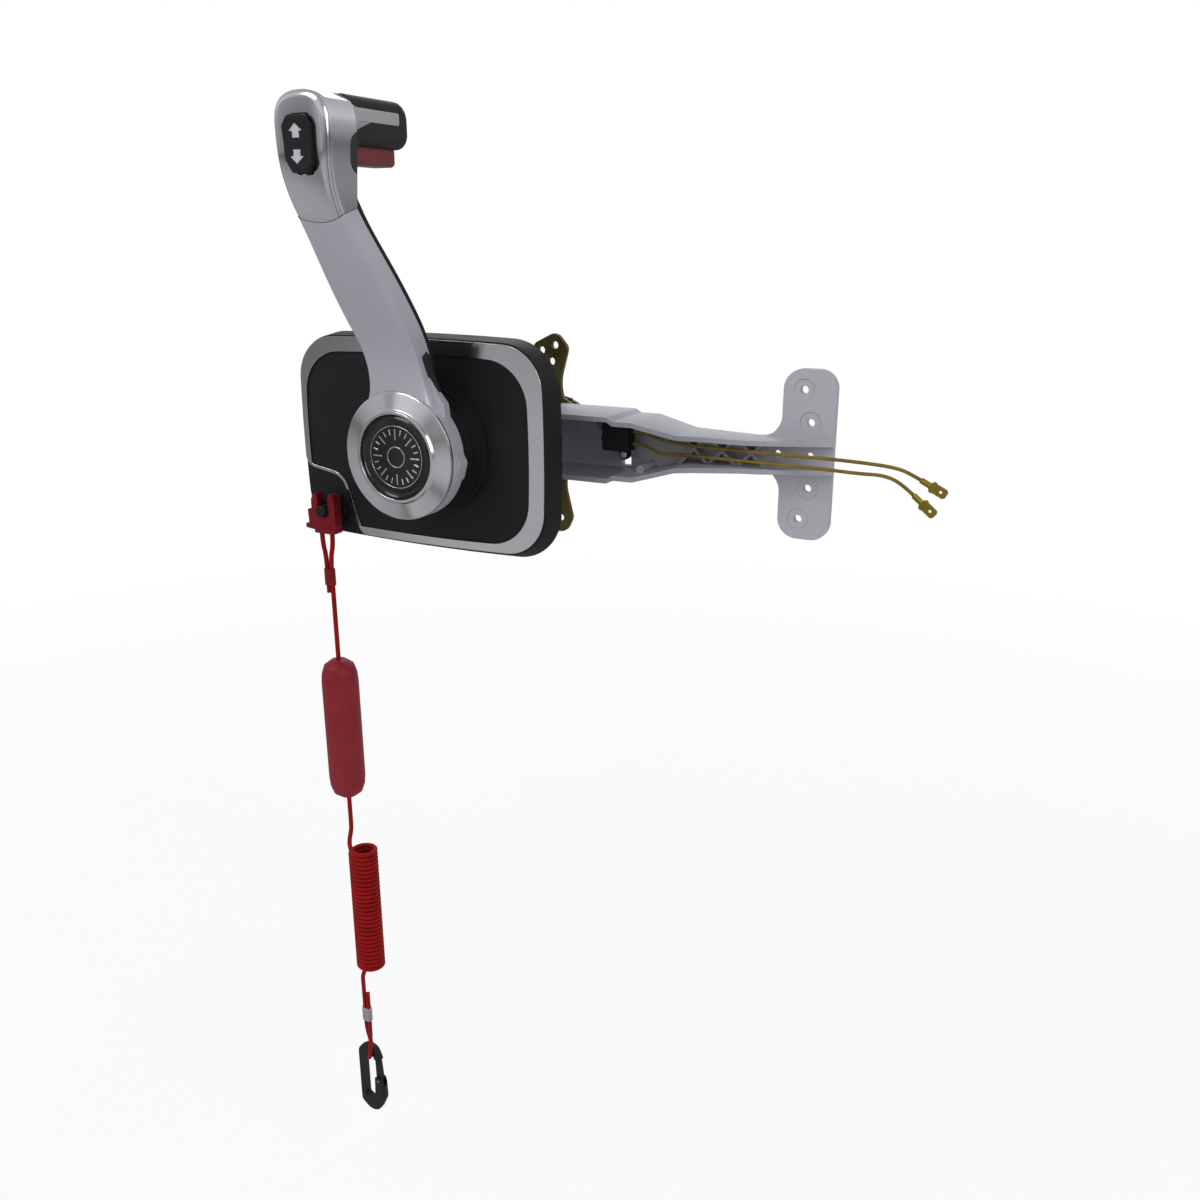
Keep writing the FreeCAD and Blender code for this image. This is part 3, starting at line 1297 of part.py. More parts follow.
back_screws = make_back_screws()
for name in ("lever_arm", "lever_back_cover"):
    holder = doc.getObject(name)
    holder.Shape = holder.Shape.cut(back_screws)
piece("back_cover_screws", back_screws)

# Hub: bright conical ring, black cap, and the bolt that draws the lever on to the shaft.
turned("hub_ring", [
    ("-hub_front", "hub_cap_radius + 1.4"),
    ("-hub_front", "hub_radius"),
    ("-hub_rim_front + 0.6", "hub_radius"),
    ("-hub_rim_front", "hub_radius - 0.7"),
    ("-hub_lip_front + 1.4", "hub_lip_radius + 1.2"),
    ("-hub_lip_front", "hub_lip_radius"),
    ("-hub_lip_front", "hub_lip_radius - 1.6"),
    ("-hub_lip_front + 1.8", "hub_cap_radius + 1.4"),
])

turned("hub_cap", [
    ("-hub_front + 1.5", "0"),
    ("-hub_front + 1.5", "hub_cap_radius + 1.35"),
    ("-hub_lip_front + 2.4", "hub_cap_radius + 1.35"),
    ("-hub_lip_front + 1.4", "hub_cap_radius - 0.6"),
    ("-hub_lip_front + 2.0", "hub_cap_radius - 2.6"),
    ("-hub_lip_front + 1.7", "0"),
])


# Hexagon nuts: one draws the lever on to the shaft, one holds the stop switch in the face.
def hex_nut(center, bore, across, thick):
    corners = [(center.x + across * math.cos(math.radians(turn)), center.z +
                across * math.sin(math.radians(turn)))
               for turn in range(0, 360, 60)]
    nut = prism(outline(corners, facing(center.y)), Vector(0, -thick, 0))
    cone = Part.makeCone(across - 0.9 + thick * 0.5, across - 0.9, thick, center, Vector(0, -1, 0))
    return nut.common(cone).cut(rod(bore, center + Vector(0, 1, 0), center - Vector(0, thick + 1, 0)))


piece("shaft_nut", hex_nut(Vector(0, -size("hub_front") + 6, 0), size("shaft_thread_radius"), 10.5, 4))
stop_center = Vector(stop_x(), -cover_depth, stop_z())
piece("stop_switch_nut", hex_nut(stop_center, size("stop_barrel_radius"), size("stop_nut_radius"),
                                 size("stop_nut_thick")))

# Stop switch: its body hangs behind the face, its barrel comes through, and the button slides in it.
turned("stop_switch", [
    ("-cover_depth + cover_wall + 7.4", "0"),
    ("-cover_depth + cover_wall + 7.4", "stop_barrel_radius + 2.5"),
    ("-cover_depth + cover_wall", "stop_barrel_radius + 2.5"),
    ("-cover_depth + cover_wall", "stop_barrel_radius"),
    ("-stop_barrel_front + 0.6", "stop_barrel_radius"),
    ("-stop_barrel_front", "stop_barrel_radius - 0.6"),
    ("-stop_barrel_front", "stop_button_radius + running_gap"),
    ("-stop_barrel_front + 8.6", "stop_button_radius + running_gap"),
    ("-stop_barrel_front + 8.6", "0"),
], x=STOP_X, z=STOP_Z)

turned("stop_button", [
    ("-stop_barrel_front + 8.6 - stop_button_travel - 1", "0"),
    ("-stop_barrel_front + 8.6 - stop_button_travel - 1", "stop_button_radius"),
    ("-stop_button_front + 0.9", "stop_button_radius"),
    ("-stop_button_front", "stop_button_radius - 0.9"),
    ("-stop_button_front", "0"),
], x=STOP_X, z=STOP_Z)


# Lanyard clip: a fork that slips over the button from below, with a side tab and a foot.
clip_front = size("cord_y") - size("clip_thick") / 2


def make_lanyard_clip():
    x = stop_x()
    z = stop_z()
    half = size("clip_half_width")
    inner = size("stop_button_radius") + size("clip_gap")
    top = z + size("clip_leg_height")
    low = z - size("clip_drop")
    depth = Vector(0, size("clip_thick"), 0)
    fork = [(x - half + 1, low, 2), (x + half, low, 3), (x + half, top - 4, 4), (x + inner + 2, top, 1.5),
            (x + inner, top - 4, 2), (x + inner, z - inner, 4), (x - inner, z - inner, 4),
            (x - inner, top - 4, 2),
            (x - inner - 2, top, 1.5), (x - half, top - 6, 4), (x - half, low + 4, 2)]
    body = prism(outline(fork, facing(clip_front)), depth)
    flange = prism(outline([(x - half + 2, low - 2.2, 1), (x + half - 0.4, low - 2.2, 1),
                            (x + half - 0.4, low + 1),
                            (x - half + 2, low + 1)], facing(clip_front - 0.6)),
                            Vector(0, size("clip_thick") + 1.2, 0))
    tab = prism(outline([(x - half - 4, low + 3), (x - half + 1, low + 3), (x - half + 1, low + 14, 1),
                         (x - half - 4.6, low + 14, 1)], facing(clip_front + 1.2)),
                         Vector(0, size("clip_thick") - 2.4, 0))
    foot = prism(outline([(x - half - 6.4, low + 0.6, 1), (x - half + 3, low - 0.6),
                          (x - half + 3, low + 3.6),
                          (x - half - 6.4, low + 3.8, 1)], facing(clip_front + 0.4)),
                          Vector(0, size("clip_thick") - 0.8, 0))
    return body.fuse([flange, tab, foot]).removeSplitter()


# Cord loops: the upper one runs through the clip, the lower one round the snap hook's eye.
line_x = stop_x() + size("cord_from_stop")
line_y = size("cord_y")
pair = size("cord_diameter") + 0.2
upper_joint = size("upper_ferrule_top") - size("ferrule_length") / 2
lower_joint = size("lower_ferrule_top") - size("ferrule_length") / 2
clip_low = stop_z() - size("clip_drop")

UPPER_LOOP = [(line_x - pair, line_y, upper_joint - 12), (line_x - pair, line_y, clip_low - 21),
              (line_x - 6, line_y, clip_low - 11), (line_x - 6, line_y, clip_low + 2.5),
              (line_x + 3, line_y, clip_low + 2.5), (line_x + 3, line_y, clip_low - 11),
              (line_x, line_y, clip_low - 21), (line_x, line_y, upper_joint)]
MAIN_CORD = [(line_x, line_y, upper_joint), (line_x, line_y, size("coil_top"))]
LOWER_CORD = [(line_x, line_y, size("coil_bottom")), (line_x, line_y, lower_joint)]
hook_top = size("hook_top")
LOWER_LOOP = [(line_x + pair, line_y, lower_joint + 20), (line_x + pair, line_y, lower_joint - 12),
              (line_x + 6.5, line_y - 4, hook_top + 8), (line_x + 7, line_y - 6.5, hook_top - 5),
              (line_x + 4, line_y - 4.5, hook_top - 10.6), (line_x + 1, line_y + 4.5, hook_top - 10.6),
              (line_x - 2, line_y + 6.5, hook_top - 5), (line_x - 2.6, line_y + 4, hook_top + 8),
              (line_x, line_y, lower_joint - 12), (line_x, line_y, lower_joint)]
cord_tube("upper_loop", UPPER_LOOP, size("cord_diameter"))
cord_tube("main_cord", MAIN_CORD, size("cord_diameter"))
cord_tube("lower_cord", LOWER_CORD, size("cord_diameter"))
cord_tube("lower_loop", LOWER_LOOP, size("cord_diameter"))


def tube_shape(label):
    return doc.getObject(label).Shape


piece("lanyard_clip", make_lanyard_clip().cut(tube_shape("upper_loop")))


# Crimped ferrules hold each loop's two strands side by side.
def make_ferrule(top, side, cords):
    middle = line_x + side * pair / 2
    flat_half = pair / 2
    r = size("cord_diameter") / 2 + 0.8
    y = line_y
    corners = [(middle - flat_half - r, y - r, r * 0.98), (middle + flat_half + r, y - r, r * 0.98),
               (middle + flat_half + r, y + r, r * 0.98), (middle - flat_half - r, y + r, r * 0.98)]
    sleeve = prism(outline(corners, flat(top)), Vector(0, 0, -size("ferrule_length")))
    return sleeve.cut([tube_shape(name) for name in cords])


piece("upper_ferrule", make_ferrule(size("upper_ferrule_top"), -1, ["upper_loop", "main_cord"]))
piece("lower_ferrule", make_ferrule(size("lower_ferrule_top"), 1, ["lower_loop", "lower_cord"]))

# Float: a soft foam body threaded on the cord.
turned_upright("cord_float", [
    ("cord_diameter / 2", "float_top"),
    ("5.5", "float_top"),
    ("float_radius - 2.6", "float_top - 4"),
    ("float_radius - 0.6", "float_top - 10"),
    ("float_radius", "float_top - 17"),
    ("float_radius", "float_bottom + 17"),
    ("float_radius - 0.6", "float_bottom + 10"),
    ("float_radius - 2.6", "float_bottom + 4"),
    ("5.5", "float_bottom"),
    ("cord_diameter / 2", "float_bottom"),
], x=CORD_X, y="cord_y")

# Coiled part of the cord, as one tube of the coil's outer diameter.
turned_upright("cord_coil", [
    ("coil_radius - cord_diameter", "coil_top"),
    ("coil_radius", "coil_top"),
    ("coil_radius", "coil_bottom"),
    ("coil_radius - cord_diameter", "coil_bottom"),
], x=CORD_X + " + coil_radius - cord_diameter / 2", y="cord_y")


# Snap hook with a sprung gate on a pin.
hook_x = stop_x() + size("cord_from_stop") + 3.4
hook_low = size("hook_bottom")
gate_pivot = Vector(hook_x + 6.6, line_y, hook_top - 33)


def make_snap_hook():
    half = size("hook_half_width")
    bar = size("hook_bar")
    x = hook_x
    outer = [(x - half, hook_low + 7, 6), (x - half, hook_top - 5, 8), (x - half + 7, hook_top, 7),
             (x + 5, hook_top, 8), (x + half - 2.6, hook_top - 11, 6), (x + half - 1.6, hook_top - 27, 2),
             (x + half, hook_top - 34, 4), (x + half + 0.4, hook_low + 15, 9), (x + 5.5, hook_low, 9),
             (x - 4, hook_low, 9)]
    opening = [(x - half + bar, hook_low + 13, 3), (x - half + bar, hook_top - 8.4, 3.5),
               (x + 4.6, hook_top - 8.4, 3.5),
               (x + 3, hook_low + 17, 4), (x - 1, hook_low + 10, 3)]
    thick = size("hook_thick")
    y = line_y - thick / 2
    body = prism(outline(outer, facing(y)), Vector(0, thick, 0))
    body = body.makeFillet(1.5, [e for e in body.Edges if abs(e.BoundBox.YLength) < 0.01])
    body = body.cut(prism(outline(opening, facing(y - 1)), Vector(0, thick + 2, 0)))
    body = body.cut(tall_box(x + 1, x + 30, y - 1, y + thick + 1, hook_top - 30, hook_top - 12))
    body = body.cut(tall_box(x + 1, x + 30, line_y - 1.9, line_y + 1.9, hook_top - 37, hook_top - 29))
    return body.cut(rod(1, gate_pivot - Vector(0, 10, 0), gate_pivot + Vector(0, 10, 0)))


def make_hook_gate():
    x = hook_x
    bar = [(x + 4, hook_top - 12.4, 1), (x + 8.8, hook_top - 12.4, 1), (x + 10, hook_top - 28, 2),
           (x + 9.6, hook_top - 36, 2.4),
           (x + 4.4, hook_top - 36, 2.4), (x + 4.2, hook_top - 28, 1)]
    gate = prism(outline(bar, facing(line_y - 1.5)), Vector(0, 3, 0))
    return gate.cut(rod(1 + size("running_gap"), gate_pivot - Vector(0, 10, 0), gate_pivot +
                        Vector(0, 10, 0)))


piece("snap_hook", make_snap_hook())
piece("hook_gate", make_hook_gate())
piece("gate_pin", rod(1, gate_pivot - Vector(0, size("hook_thick") / 2, 0), gate_pivot +
                      Vector(0, size("hook_thick") / 2, 0)))

# Every piece is rebuilt, tested and written out under its own name.
doc.recompute()
os.makedirs("parts", exist_ok=True)
for item in PIECES:
    if "Invalid" in item.State or "Error" in item.State:
        raise RuntimeError("%s did not rebuild" % item.Label)
    if item.Shape.isNull() or not item.Shape.isValid() or not item.Shape.Solids:
        raise RuntimeError("%s has no valid solid" % item.Label)
    item.Shape.exportStep("parts/%s.step" % item.Label)
print(len(PIECES), "pieces written")
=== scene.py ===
import bmesh
import bpy
import numpy as np
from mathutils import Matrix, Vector


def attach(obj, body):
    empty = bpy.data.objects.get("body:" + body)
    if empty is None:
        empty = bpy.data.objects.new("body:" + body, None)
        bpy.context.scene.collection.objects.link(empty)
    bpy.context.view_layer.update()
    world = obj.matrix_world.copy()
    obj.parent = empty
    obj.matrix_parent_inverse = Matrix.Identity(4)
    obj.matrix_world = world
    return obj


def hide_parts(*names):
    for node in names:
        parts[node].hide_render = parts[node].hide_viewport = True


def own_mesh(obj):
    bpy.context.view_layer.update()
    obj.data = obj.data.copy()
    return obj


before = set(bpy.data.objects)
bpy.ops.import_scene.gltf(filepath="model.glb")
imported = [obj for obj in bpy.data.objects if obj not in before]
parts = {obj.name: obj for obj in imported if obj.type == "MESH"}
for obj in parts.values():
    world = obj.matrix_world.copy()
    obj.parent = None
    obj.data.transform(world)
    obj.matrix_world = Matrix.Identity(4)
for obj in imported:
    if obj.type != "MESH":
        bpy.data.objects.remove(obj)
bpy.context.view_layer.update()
scene = bpy.context.scene
scene.view_settings.view_transform = "Standard"

# Camera: a three-quarter view from the driver's right, a little above the lever's hub.
# The lens and place come from fitting the round hub, the straight panel edges and the hanging lanyard.
camera = bpy.data.objects.new("camera", bpy.data.cameras.new("camera"))
scene.collection.objects.link(camera)
camera.location = (0.4325, -0.6244, 0.1331)
camera.data.lens = 33.63
camera.data.sensor_width = 36.0
camera.data.clip_start = 0.01
look = Vector((-0.4283, 0.8494, -0.3083)).normalized()
camera.rotation_euler = look.to_track_quat("-Z", "Y").to_euler()
scene.camera = camera

# Studio: three broad lamps and an even world. The camera and clear pieces see a white surround, and polished faces
# see a studio of pale and dark bands and posts. A band is (height from 0, straight down, to 1, straight up; tone),
# and a post is (turn round the horizon from 0 to 1; share of the band's tone).
for lamp_name, place, aim, width, power in (
        ("key_lamp", (-0.7, -1.3, 1.5), (0, -0.05, 0), 1.1, 16.0),
        ("side_lamp", (1.5, -0.7, 0.7), (0, 0, 0), 1.0, 8.0),
        ("rear_lamp", (-0.6, 1.3, 1.1), (0.05, 0, -0.05), 1.2, 6.0)):
    lamp = bpy.data.objects.new(lamp_name, bpy.data.lights.new(lamp_name, "AREA"))
    lamp.data.shape = "DISK"
    lamp.data.size = width
    lamp.data.energy = power
    lamp.location = place
    lamp.rotation_euler = (Vector(aim) - Vector(place)).to_track_quat("-Z", "Y").to_euler()
    scene.collection.objects.link(lamp)


def node(tree, kind, **values):
    """Adds one node and sets its named input sockets; an underscore in a name stands for a space."""
    made = tree.nodes.new(kind)
    for socket, value in values.items():
        made.inputs[socket.replace("_", " ")].default_value = value
    return made


def wire(tree, source, output, target, entry):
    """Links an output socket to an input socket."""
    tree.links.new(source.outputs[output], target.inputs[entry])


COLOUR_A, COLOUR_B, COLOUR_MIX = 6, 7, 2  # a Mix node's two colour inputs and its colour output
world = bpy.data.worlds.new("studio")
world.use_nodes = True
scene.world = world
sky = world.node_tree
sky.nodes.clear()
sky_out = node(sky, "ShaderNodeOutputWorld")
sky_mix = node(sky, "ShaderNodeMixShader")
sky_glint = node(sky, "ShaderNodeMixShader")
sky_soft = node(sky, "ShaderNodeBackground", Color=(0.86, 0.87, 0.9, 1), Strength=0.62)
sky_white = node(sky, "ShaderNodeBackground", Color=(1, 1, 1, 1), Strength=1.0)
sky_bands = node(sky, "ShaderNodeBackground", Strength=1.0)
sky_place = node(sky, "ShaderNodeTexCoord")
sky_parts = node(sky, "ShaderNodeSeparateXYZ")
sky_level = node(sky, "ShaderNodeMapRange", From_Min=-1.0, From_Max=1.0)
sky_ramp = node(sky, "ShaderNodeValToRGB")
band = sky_ramp.color_ramp.elements
band[0].position, band[1].position = 0.0, 1.0
band[0].color, band[1].color = (0.42, 0.42, 0.43, 1), (0.62, 0.62, 0.63, 1)
for height, tone in ((0.3, 0.55), (0.42, 0.5), (0.47, 0.35), (0.5, 0.2), (0.53, 0.45), (0.62, 0.85), (0.82, 0.7)):
    band.new(height).color = (tone, tone, tone * 1.02, 1)
half_turn = 3.1416
sky_turn = node(sky, "ShaderNodeMath")
sky_turn.operation = "ARCTAN2"
sky_side = node(sky, "ShaderNodeMapRange", From_Min=-half_turn, From_Max=half_turn)
sky_posts = node(sky, "ShaderNodeValToRGB")
post = sky_posts.color_ramp.elements
post[0].position, post[1].position = 0.0, 1.0
post[0].color = post[1].color = (0.75, 0.75, 0.76, 1)
for side, tone in ((0.09, 1.0), (0.125, 0.85), (0.14, 0.4), (0.15, 1.2), (0.18, 1.1), (0.2, 0.95), (0.21, 0.35),
                   (0.222, 1.3), (0.245, 1.2), (0.257, 0.4), (0.27, 1.25), (0.3, 0.8), (0.34, 0.9), (0.38, 0.5),
                   (0.4, 0.25), (0.42, 1.3), (0.45, 0.9), (0.5, 0.8), (0.53, 0.35), (0.55, 1.2), (0.6, 1.0),
                   (0.75, 0.8)):
    post.new(side).color = (tone, tone, tone, 1)
sky_both = node(sky, "ShaderNodeMix")
sky_both.data_type = "RGBA"
sky_both.blend_type = "MULTIPLY"
sky_both.inputs[0].default_value = 1.0
wire(sky, sky_place, "Generated", sky_parts, 0)
wire(sky, sky_parts, "Z", sky_level, 0)
wire(sky, sky_level, 0, sky_ramp, 0)
wire(sky, sky_parts, "Y", sky_turn, 0)
wire(sky, sky_parts, "X", sky_turn, 1)
wire(sky, sky_turn, 0, sky_side, 0)
wire(sky, sky_side, 0, sky_posts, 0)
wire(sky, sky_ramp, 0, sky_both, COLOUR_A)
wire(sky, sky_posts, 0, sky_both, COLOUR_B)
wire(sky, sky_both, COLOUR_MIX, sky_bands, 0)
sky_path = node(sky, "ShaderNodeLightPath")
sky_clear = node(sky, "ShaderNodeMath")
sky_clear.operation = "MAXIMUM"
wire(sky, sky_path, "Is Camera Ray", sky_clear, 0)
wire(sky, sky_path, "Is Transmission Ray", sky_clear, 1)
wire(sky, sky_path, "Is Glossy Ray", sky_glint, 0)
wire(sky, sky_soft, 0, sky_glint, 1)
wire(sky, sky_bands, 0, sky_glint, 2)
wire(sky, sky_clear, 0, sky_mix, 0)
wire(sky, sky_glint, 0, sky_mix, 1)
wire(sky, sky_white, 0, sky_mix, 2)
wire(sky, sky_mix, 0, sky_out, 0)

# Floor: a wide sheet of white paper, far under the lanyard's hook. It keeps the object's soft shadow, turns into
# the white surround with distance, and polished faces look past it into the studio.
reach, floor_z = 12.0, -0.66
floor_mesh = bpy.data.meshes.new("studio_floor")
floor_mesh.from_pydata([(-reach, -reach, floor_z), (reach, -reach, floor_z), (reach, reach, floor_z),
                        (-reach, reach, floor_z)], [], [(0, 1, 2, 3)])
floor = bpy.data.objects.new("studio_floor", floor_mesh)
scene.collection.objects.link(floor)
paper = bpy.data.materials.new("floor_paper")
paper.use_nodes = True
paper_tree = paper.node_tree
paper_face = paper_tree.nodes["Principled BSDF"]
paper_face.inputs["Roughness"].default_value = 0.9
paper_fibre = node(paper_tree, "ShaderNodeTexNoise", Scale=3.0, Detail=3.0)
paper_tone = node(paper_tree, "ShaderNodeValToRGB")
paper_tone.color_ramp.elements[0].color = (0.9, 0.9, 0.9, 1)
paper_tone.color_ramp.elements[1].color = (0.94, 0.94, 0.94, 1)
paper_place = node(paper_tree, "ShaderNodeTexCoord")
wire(paper_tree, paper_place, "Object", paper_fibre, "Vector")
wire(paper_tree, paper_fibre, 0, paper_tone, 0)
wire(paper_tree, paper_tone, 0, paper_face, "Base Color")
paper_glow = node(paper_tree, "ShaderNodeEmission", Strength=1.0)
paper_mix = node(paper_tree, "ShaderNodeMixShader", Fac=0.0)
paper_path = node(paper_tree, "ShaderNodeLightPath")
paper_share = node(paper_tree, "ShaderNodeMath")
paper_share.operation = "MULTIPLY"
paper_reach = node(paper_tree, "ShaderNodeVectorMath")
paper_reach.operation = "LENGTH"
paper_far = node(paper_tree, "ShaderNodeMapRange", From_Min=0.7, From_Max=2.2, To_Min=0.75, To_Max=1.0)
wire(paper_tree, paper_place, "Object", paper_reach, 0)
wire(paper_tree, paper_reach, "Value", paper_far, 0)
wire(paper_tree, paper_path, "Is Camera Ray", paper_share, 0)
wire(paper_tree, paper_far, 0, paper_share, 1)
wire(paper_tree, paper_share, 0, paper_mix, 0)
wire(paper_tree, paper_face, 0, paper_mix, 1)
wire(paper_tree, paper_glow, 0, paper_mix, 2)
wire(paper_tree, paper_mix, 0, paper_tree.nodes["Material Output"], 0)
floor_mesh.materials.append(paper)
floor.visible_glossy = False


# Mounting plate and shaft train: zinc-plated steel, pressed, turned or cut, held by screws and spring clips and
# mostly hidden behind the cover. The plate takes the four panel bolts; the shaft carries detent disc and pinion.
def worked_surface():
    """Group for any worked surface: fine bumps from noise, a slow mottle, and how far an edge is rounded over.
    Edges = 1 - (bevelled normal . true normal), stretched so that a rounded edge reads 1."""
    tree = bpy.data.node_groups.new("worked_surface", "ShaderNodeTree")
    for name, value in (("Grain", 900.0), ("Depth", 0.00002), ("Patch", 30.0)):
        entry = tree.interface.new_socket(name=name, in_out="INPUT", socket_type="NodeSocketFloat")
        entry.default_value = value
    tree.interface.new_socket(name="Normal", in_out="OUTPUT", socket_type="NodeSocketVector")
    tree.interface.new_socket(name="Mottle", in_out="OUTPUT", socket_type="NodeSocketFloat")
    tree.interface.new_socket(name="Edges", in_out="OUTPUT", socket_type="NodeSocketFloat")
    given = tree.nodes.new("NodeGroupInput")
    result = tree.nodes.new("NodeGroupOutput")
    place = node(tree, "ShaderNodeTexCoord")
    fine = node(tree, "ShaderNodeTexNoise", Detail=3.0, Roughness=0.6)
    slow = node(tree, "ShaderNodeTexNoise", Detail=4.0, Roughness=0.55)
    wire(tree, place, "Object", fine, "Vector")
    wire(tree, place, "Object", slow, "Vector")
    wire(tree, given, "Grain", fine, "Scale")
    wire(tree, given, "Patch", slow, "Scale")
    rounded = node(tree, "ShaderNodeBevel", Radius=0.0005)
    rounded.samples = 4
    bump = node(tree, "ShaderNodeBump", Strength=1.0)
    wire(tree, fine, 0, bump, "Height")
    wire(tree, given, "Depth", bump, "Distance")
    wire(tree, rounded, 0, bump, "Normal")
    true = node(tree, "ShaderNodeNewGeometry")
    facing = node(tree, "ShaderNodeVectorMath")
    facing.operation = "DOT_PRODUCT"
    wire(tree, rounded, 0, facing, 0)
    wire(tree, true, "Normal", facing, 1)
    edge = node(tree, "ShaderNodeMapRange", From_Min=0.995, From_Max=0.9, To_Min=0.0, To_Max=1.0)
    wire(tree, facing, "Value", edge, 0)
    stretch = node(tree, "ShaderNodeMapRange", From_Min=0.3, From_Max=0.7, To_Min=0.0, To_Max=1.0)
    wire(tree, slow, 0, stretch, 0)
    wire(tree, bump, 0, result, "Normal")
    wire(tree, stretch, 0, result, "Mottle")
    wire(tree, edge, 0, result, "Edges")
    return tree


WORKED = worked_surface()


def blend_colour(tree, share, first, second):
    """A colour between two: share is (node, output), and first is a colour or a Mix node."""
    mix = tree.nodes.new("ShaderNodeMix")
    mix.data_type = "RGBA"
    wire(tree, share[0], share[1], mix, 0)
    if isinstance(first, tuple):
        mix.inputs[COLOUR_A].default_value = first + (1,)
    else:
        wire(tree, first, COLOUR_MIX, mix, COLOUR_A)
    mix.inputs[COLOUR_B].default_value = second + (1,)
    return mix


def finish(name, light, dark, worn, rough, grain, depth, patch, wear=0.5, **sockets):
    """A material: mottled between a light and a dark colour, with the worn colour along its edges, and as rough
    as the mottle says. rough is (lowest, highest), grain and patch are noise scales per metre, depth is the
    bump's height in metres, and wear is how much of the worn colour an edge takes."""
    material = bpy.data.materials.new(name)
    material.use_nodes = True
    tree = material.node_tree
    face = tree.nodes["Principled BSDF"]
    for socket, value in sockets.items():
        face.inputs[socket.replace("_", " ")].default_value = value
    skin = tree.nodes.new("ShaderNodeGroup")
    skin.node_tree = WORKED
    skin.inputs["Grain"].default_value = grain
    skin.inputs["Depth"].default_value = depth
    skin.inputs["Patch"].default_value = patch
    tone = blend_colour(tree, (skin, "Mottle"), dark, light)
    share = node(tree, "ShaderNodeMath")
    share.operation = "MULTIPLY"
    share.inputs[1].default_value = wear
    wire(tree, skin, "Edges", share, 0)
    colour = blend_colour(tree, (share, 0), tone, worn)
    wire(tree, colour, COLOUR_MIX, face, "Base Color")
    gloss = node(tree, "ShaderNodeMapRange", To_Min=rough[0], To_Max=rough[1])
    wire(tree, skin, "Mottle", gloss, 0)
    wire(tree, gloss, 0, face, "Roughness")
    wire(tree, skin, "Normal", face, "Normal")
    return material


def smooth_skin(name, body, material, turn=35.0):
    """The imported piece's own surface with its loose corners joined; faces that meet at less than the turn,
    in degrees, are shaded as one curved face."""
    join_within = 3e-6
    mesh = parts[name].data.copy()
    mesh.name = name + "_skin"
    form = bmesh.new()
    form.from_mesh(mesh)
    bmesh.ops.remove_doubles(form, verts=form.verts, dist=join_within)
    form.to_mesh(mesh)
    form.free()
    for layer in ("custom_normal", "sharp_face", "sharp_edge"):
        if layer in mesh.attributes:
            mesh.attributes.remove(mesh.attributes[layer])
    mesh.shade_smooth()
    mesh.set_sharp_from_angle(angle=np.radians(turn))
    mesh.materials.clear()
    mesh.materials.append(material)
    made = bpy.data.objects.new(name + "_skin", mesh)
    scene.collection.objects.link(made)
    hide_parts(name)
    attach(made, body)
    return made


zinc = finish("zinc_steel", light=(0.52, 0.52, 0.55), dark=(0.42, 0.42, 0.44), worn=(0.62, 0.62, 0.64),
              rough=(0.28, 0.42), grain=900.0, depth=0.000012, patch=60.0, Metallic=1.0)
for body, names in (
        ("panel_unit", ("mounting_plate", "housing_screws", "switch_screws", "detent_screw", "detent_ball",
                        "detent_spring", "arm_pivot_pin", "arm_spacer", "pivot_clip")),
        ("lever", ("lever_shaft", "detent_disc", "shaft_nut", "drive_pinion", "pinion_clip", "back_cover_screws",
                   "rocker_pin"))):
    for name in names:
        smooth_skin(name, body, zinc)

# Bushes: flanged sleeves turned from bearing bronze. The front one is pressed into the mounting plate and the
# rear one into the bracket's floor, and the lever's shaft turns in both.
bronze = finish("bush_bronze", light=(0.46, 0.29, 0.13), dark=(0.36, 0.22, 0.09), worn=(0.55, 0.38, 0.2),
                rough=(0.3, 0.45), grain=900.0, depth=0.000012, patch=80.0, Metallic=1.0)
for name in ("front_bush", "rear_bush"):
    smooth_skin(name, "panel_unit", bronze)

# Face cover, stepped collar and stop switch: black moulded plastic with a fine satin grain.
# The cover's rim slopes back to the panel and carries the bright trim in a groove; the switch sits in its corner.
black = finish("black_moulding", light=(0.0095, 0.0095, 0.0115), dark=(0.006, 0.006, 0.0075),
               worn=(0.018, 0.018, 0.02), rough=(0.5, 0.62), grain=1400.0, depth=0.000012, patch=25.0, wear=0.35,
               Specular_IOR_Level=0.22)
for name in ("face_cover", "hub_collar", "stop_switch", "stop_switch_nut"):
    smooth_skin(name, "panel_unit", black)
smooth_skin("stop_button", "button", black)

# Trim, hub ring and grip inlays: polished chrome plate over mouldings. The trim is pressed into the cover's
# groove, the ring sits on the lever's hub, and one inlay is let into each side of the grip.
chrome = finish("bright_chrome", light=(0.6, 0.59, 0.61), dark=(0.53, 0.52, 0.54), worn=(0.75, 0.75, 0.77),
                rough=(0.09, 0.16), grain=700.0, depth=0.000003, patch=14.0, wear=0.6, Metallic=1.0)
smooth_skin("bezel_trim", "panel_unit", chrome)
smooth_skin("hub_ring", "lever", chrome, turn=25.0)
smooth_skin("grip_inlays", "lever", chrome)

# Cable bracket: one aluminium casting with the gear housing, the ribbed lead channel and the cable plate, held to
# the mounting plate by four screws. Its faces further back are painted paler, painted light that lifts the shade deep
# in its channel.
VALUE_A, VALUE_B, VALUE_MIX = 2, 3, 0  # a Mix node's two plain inputs and its plain output


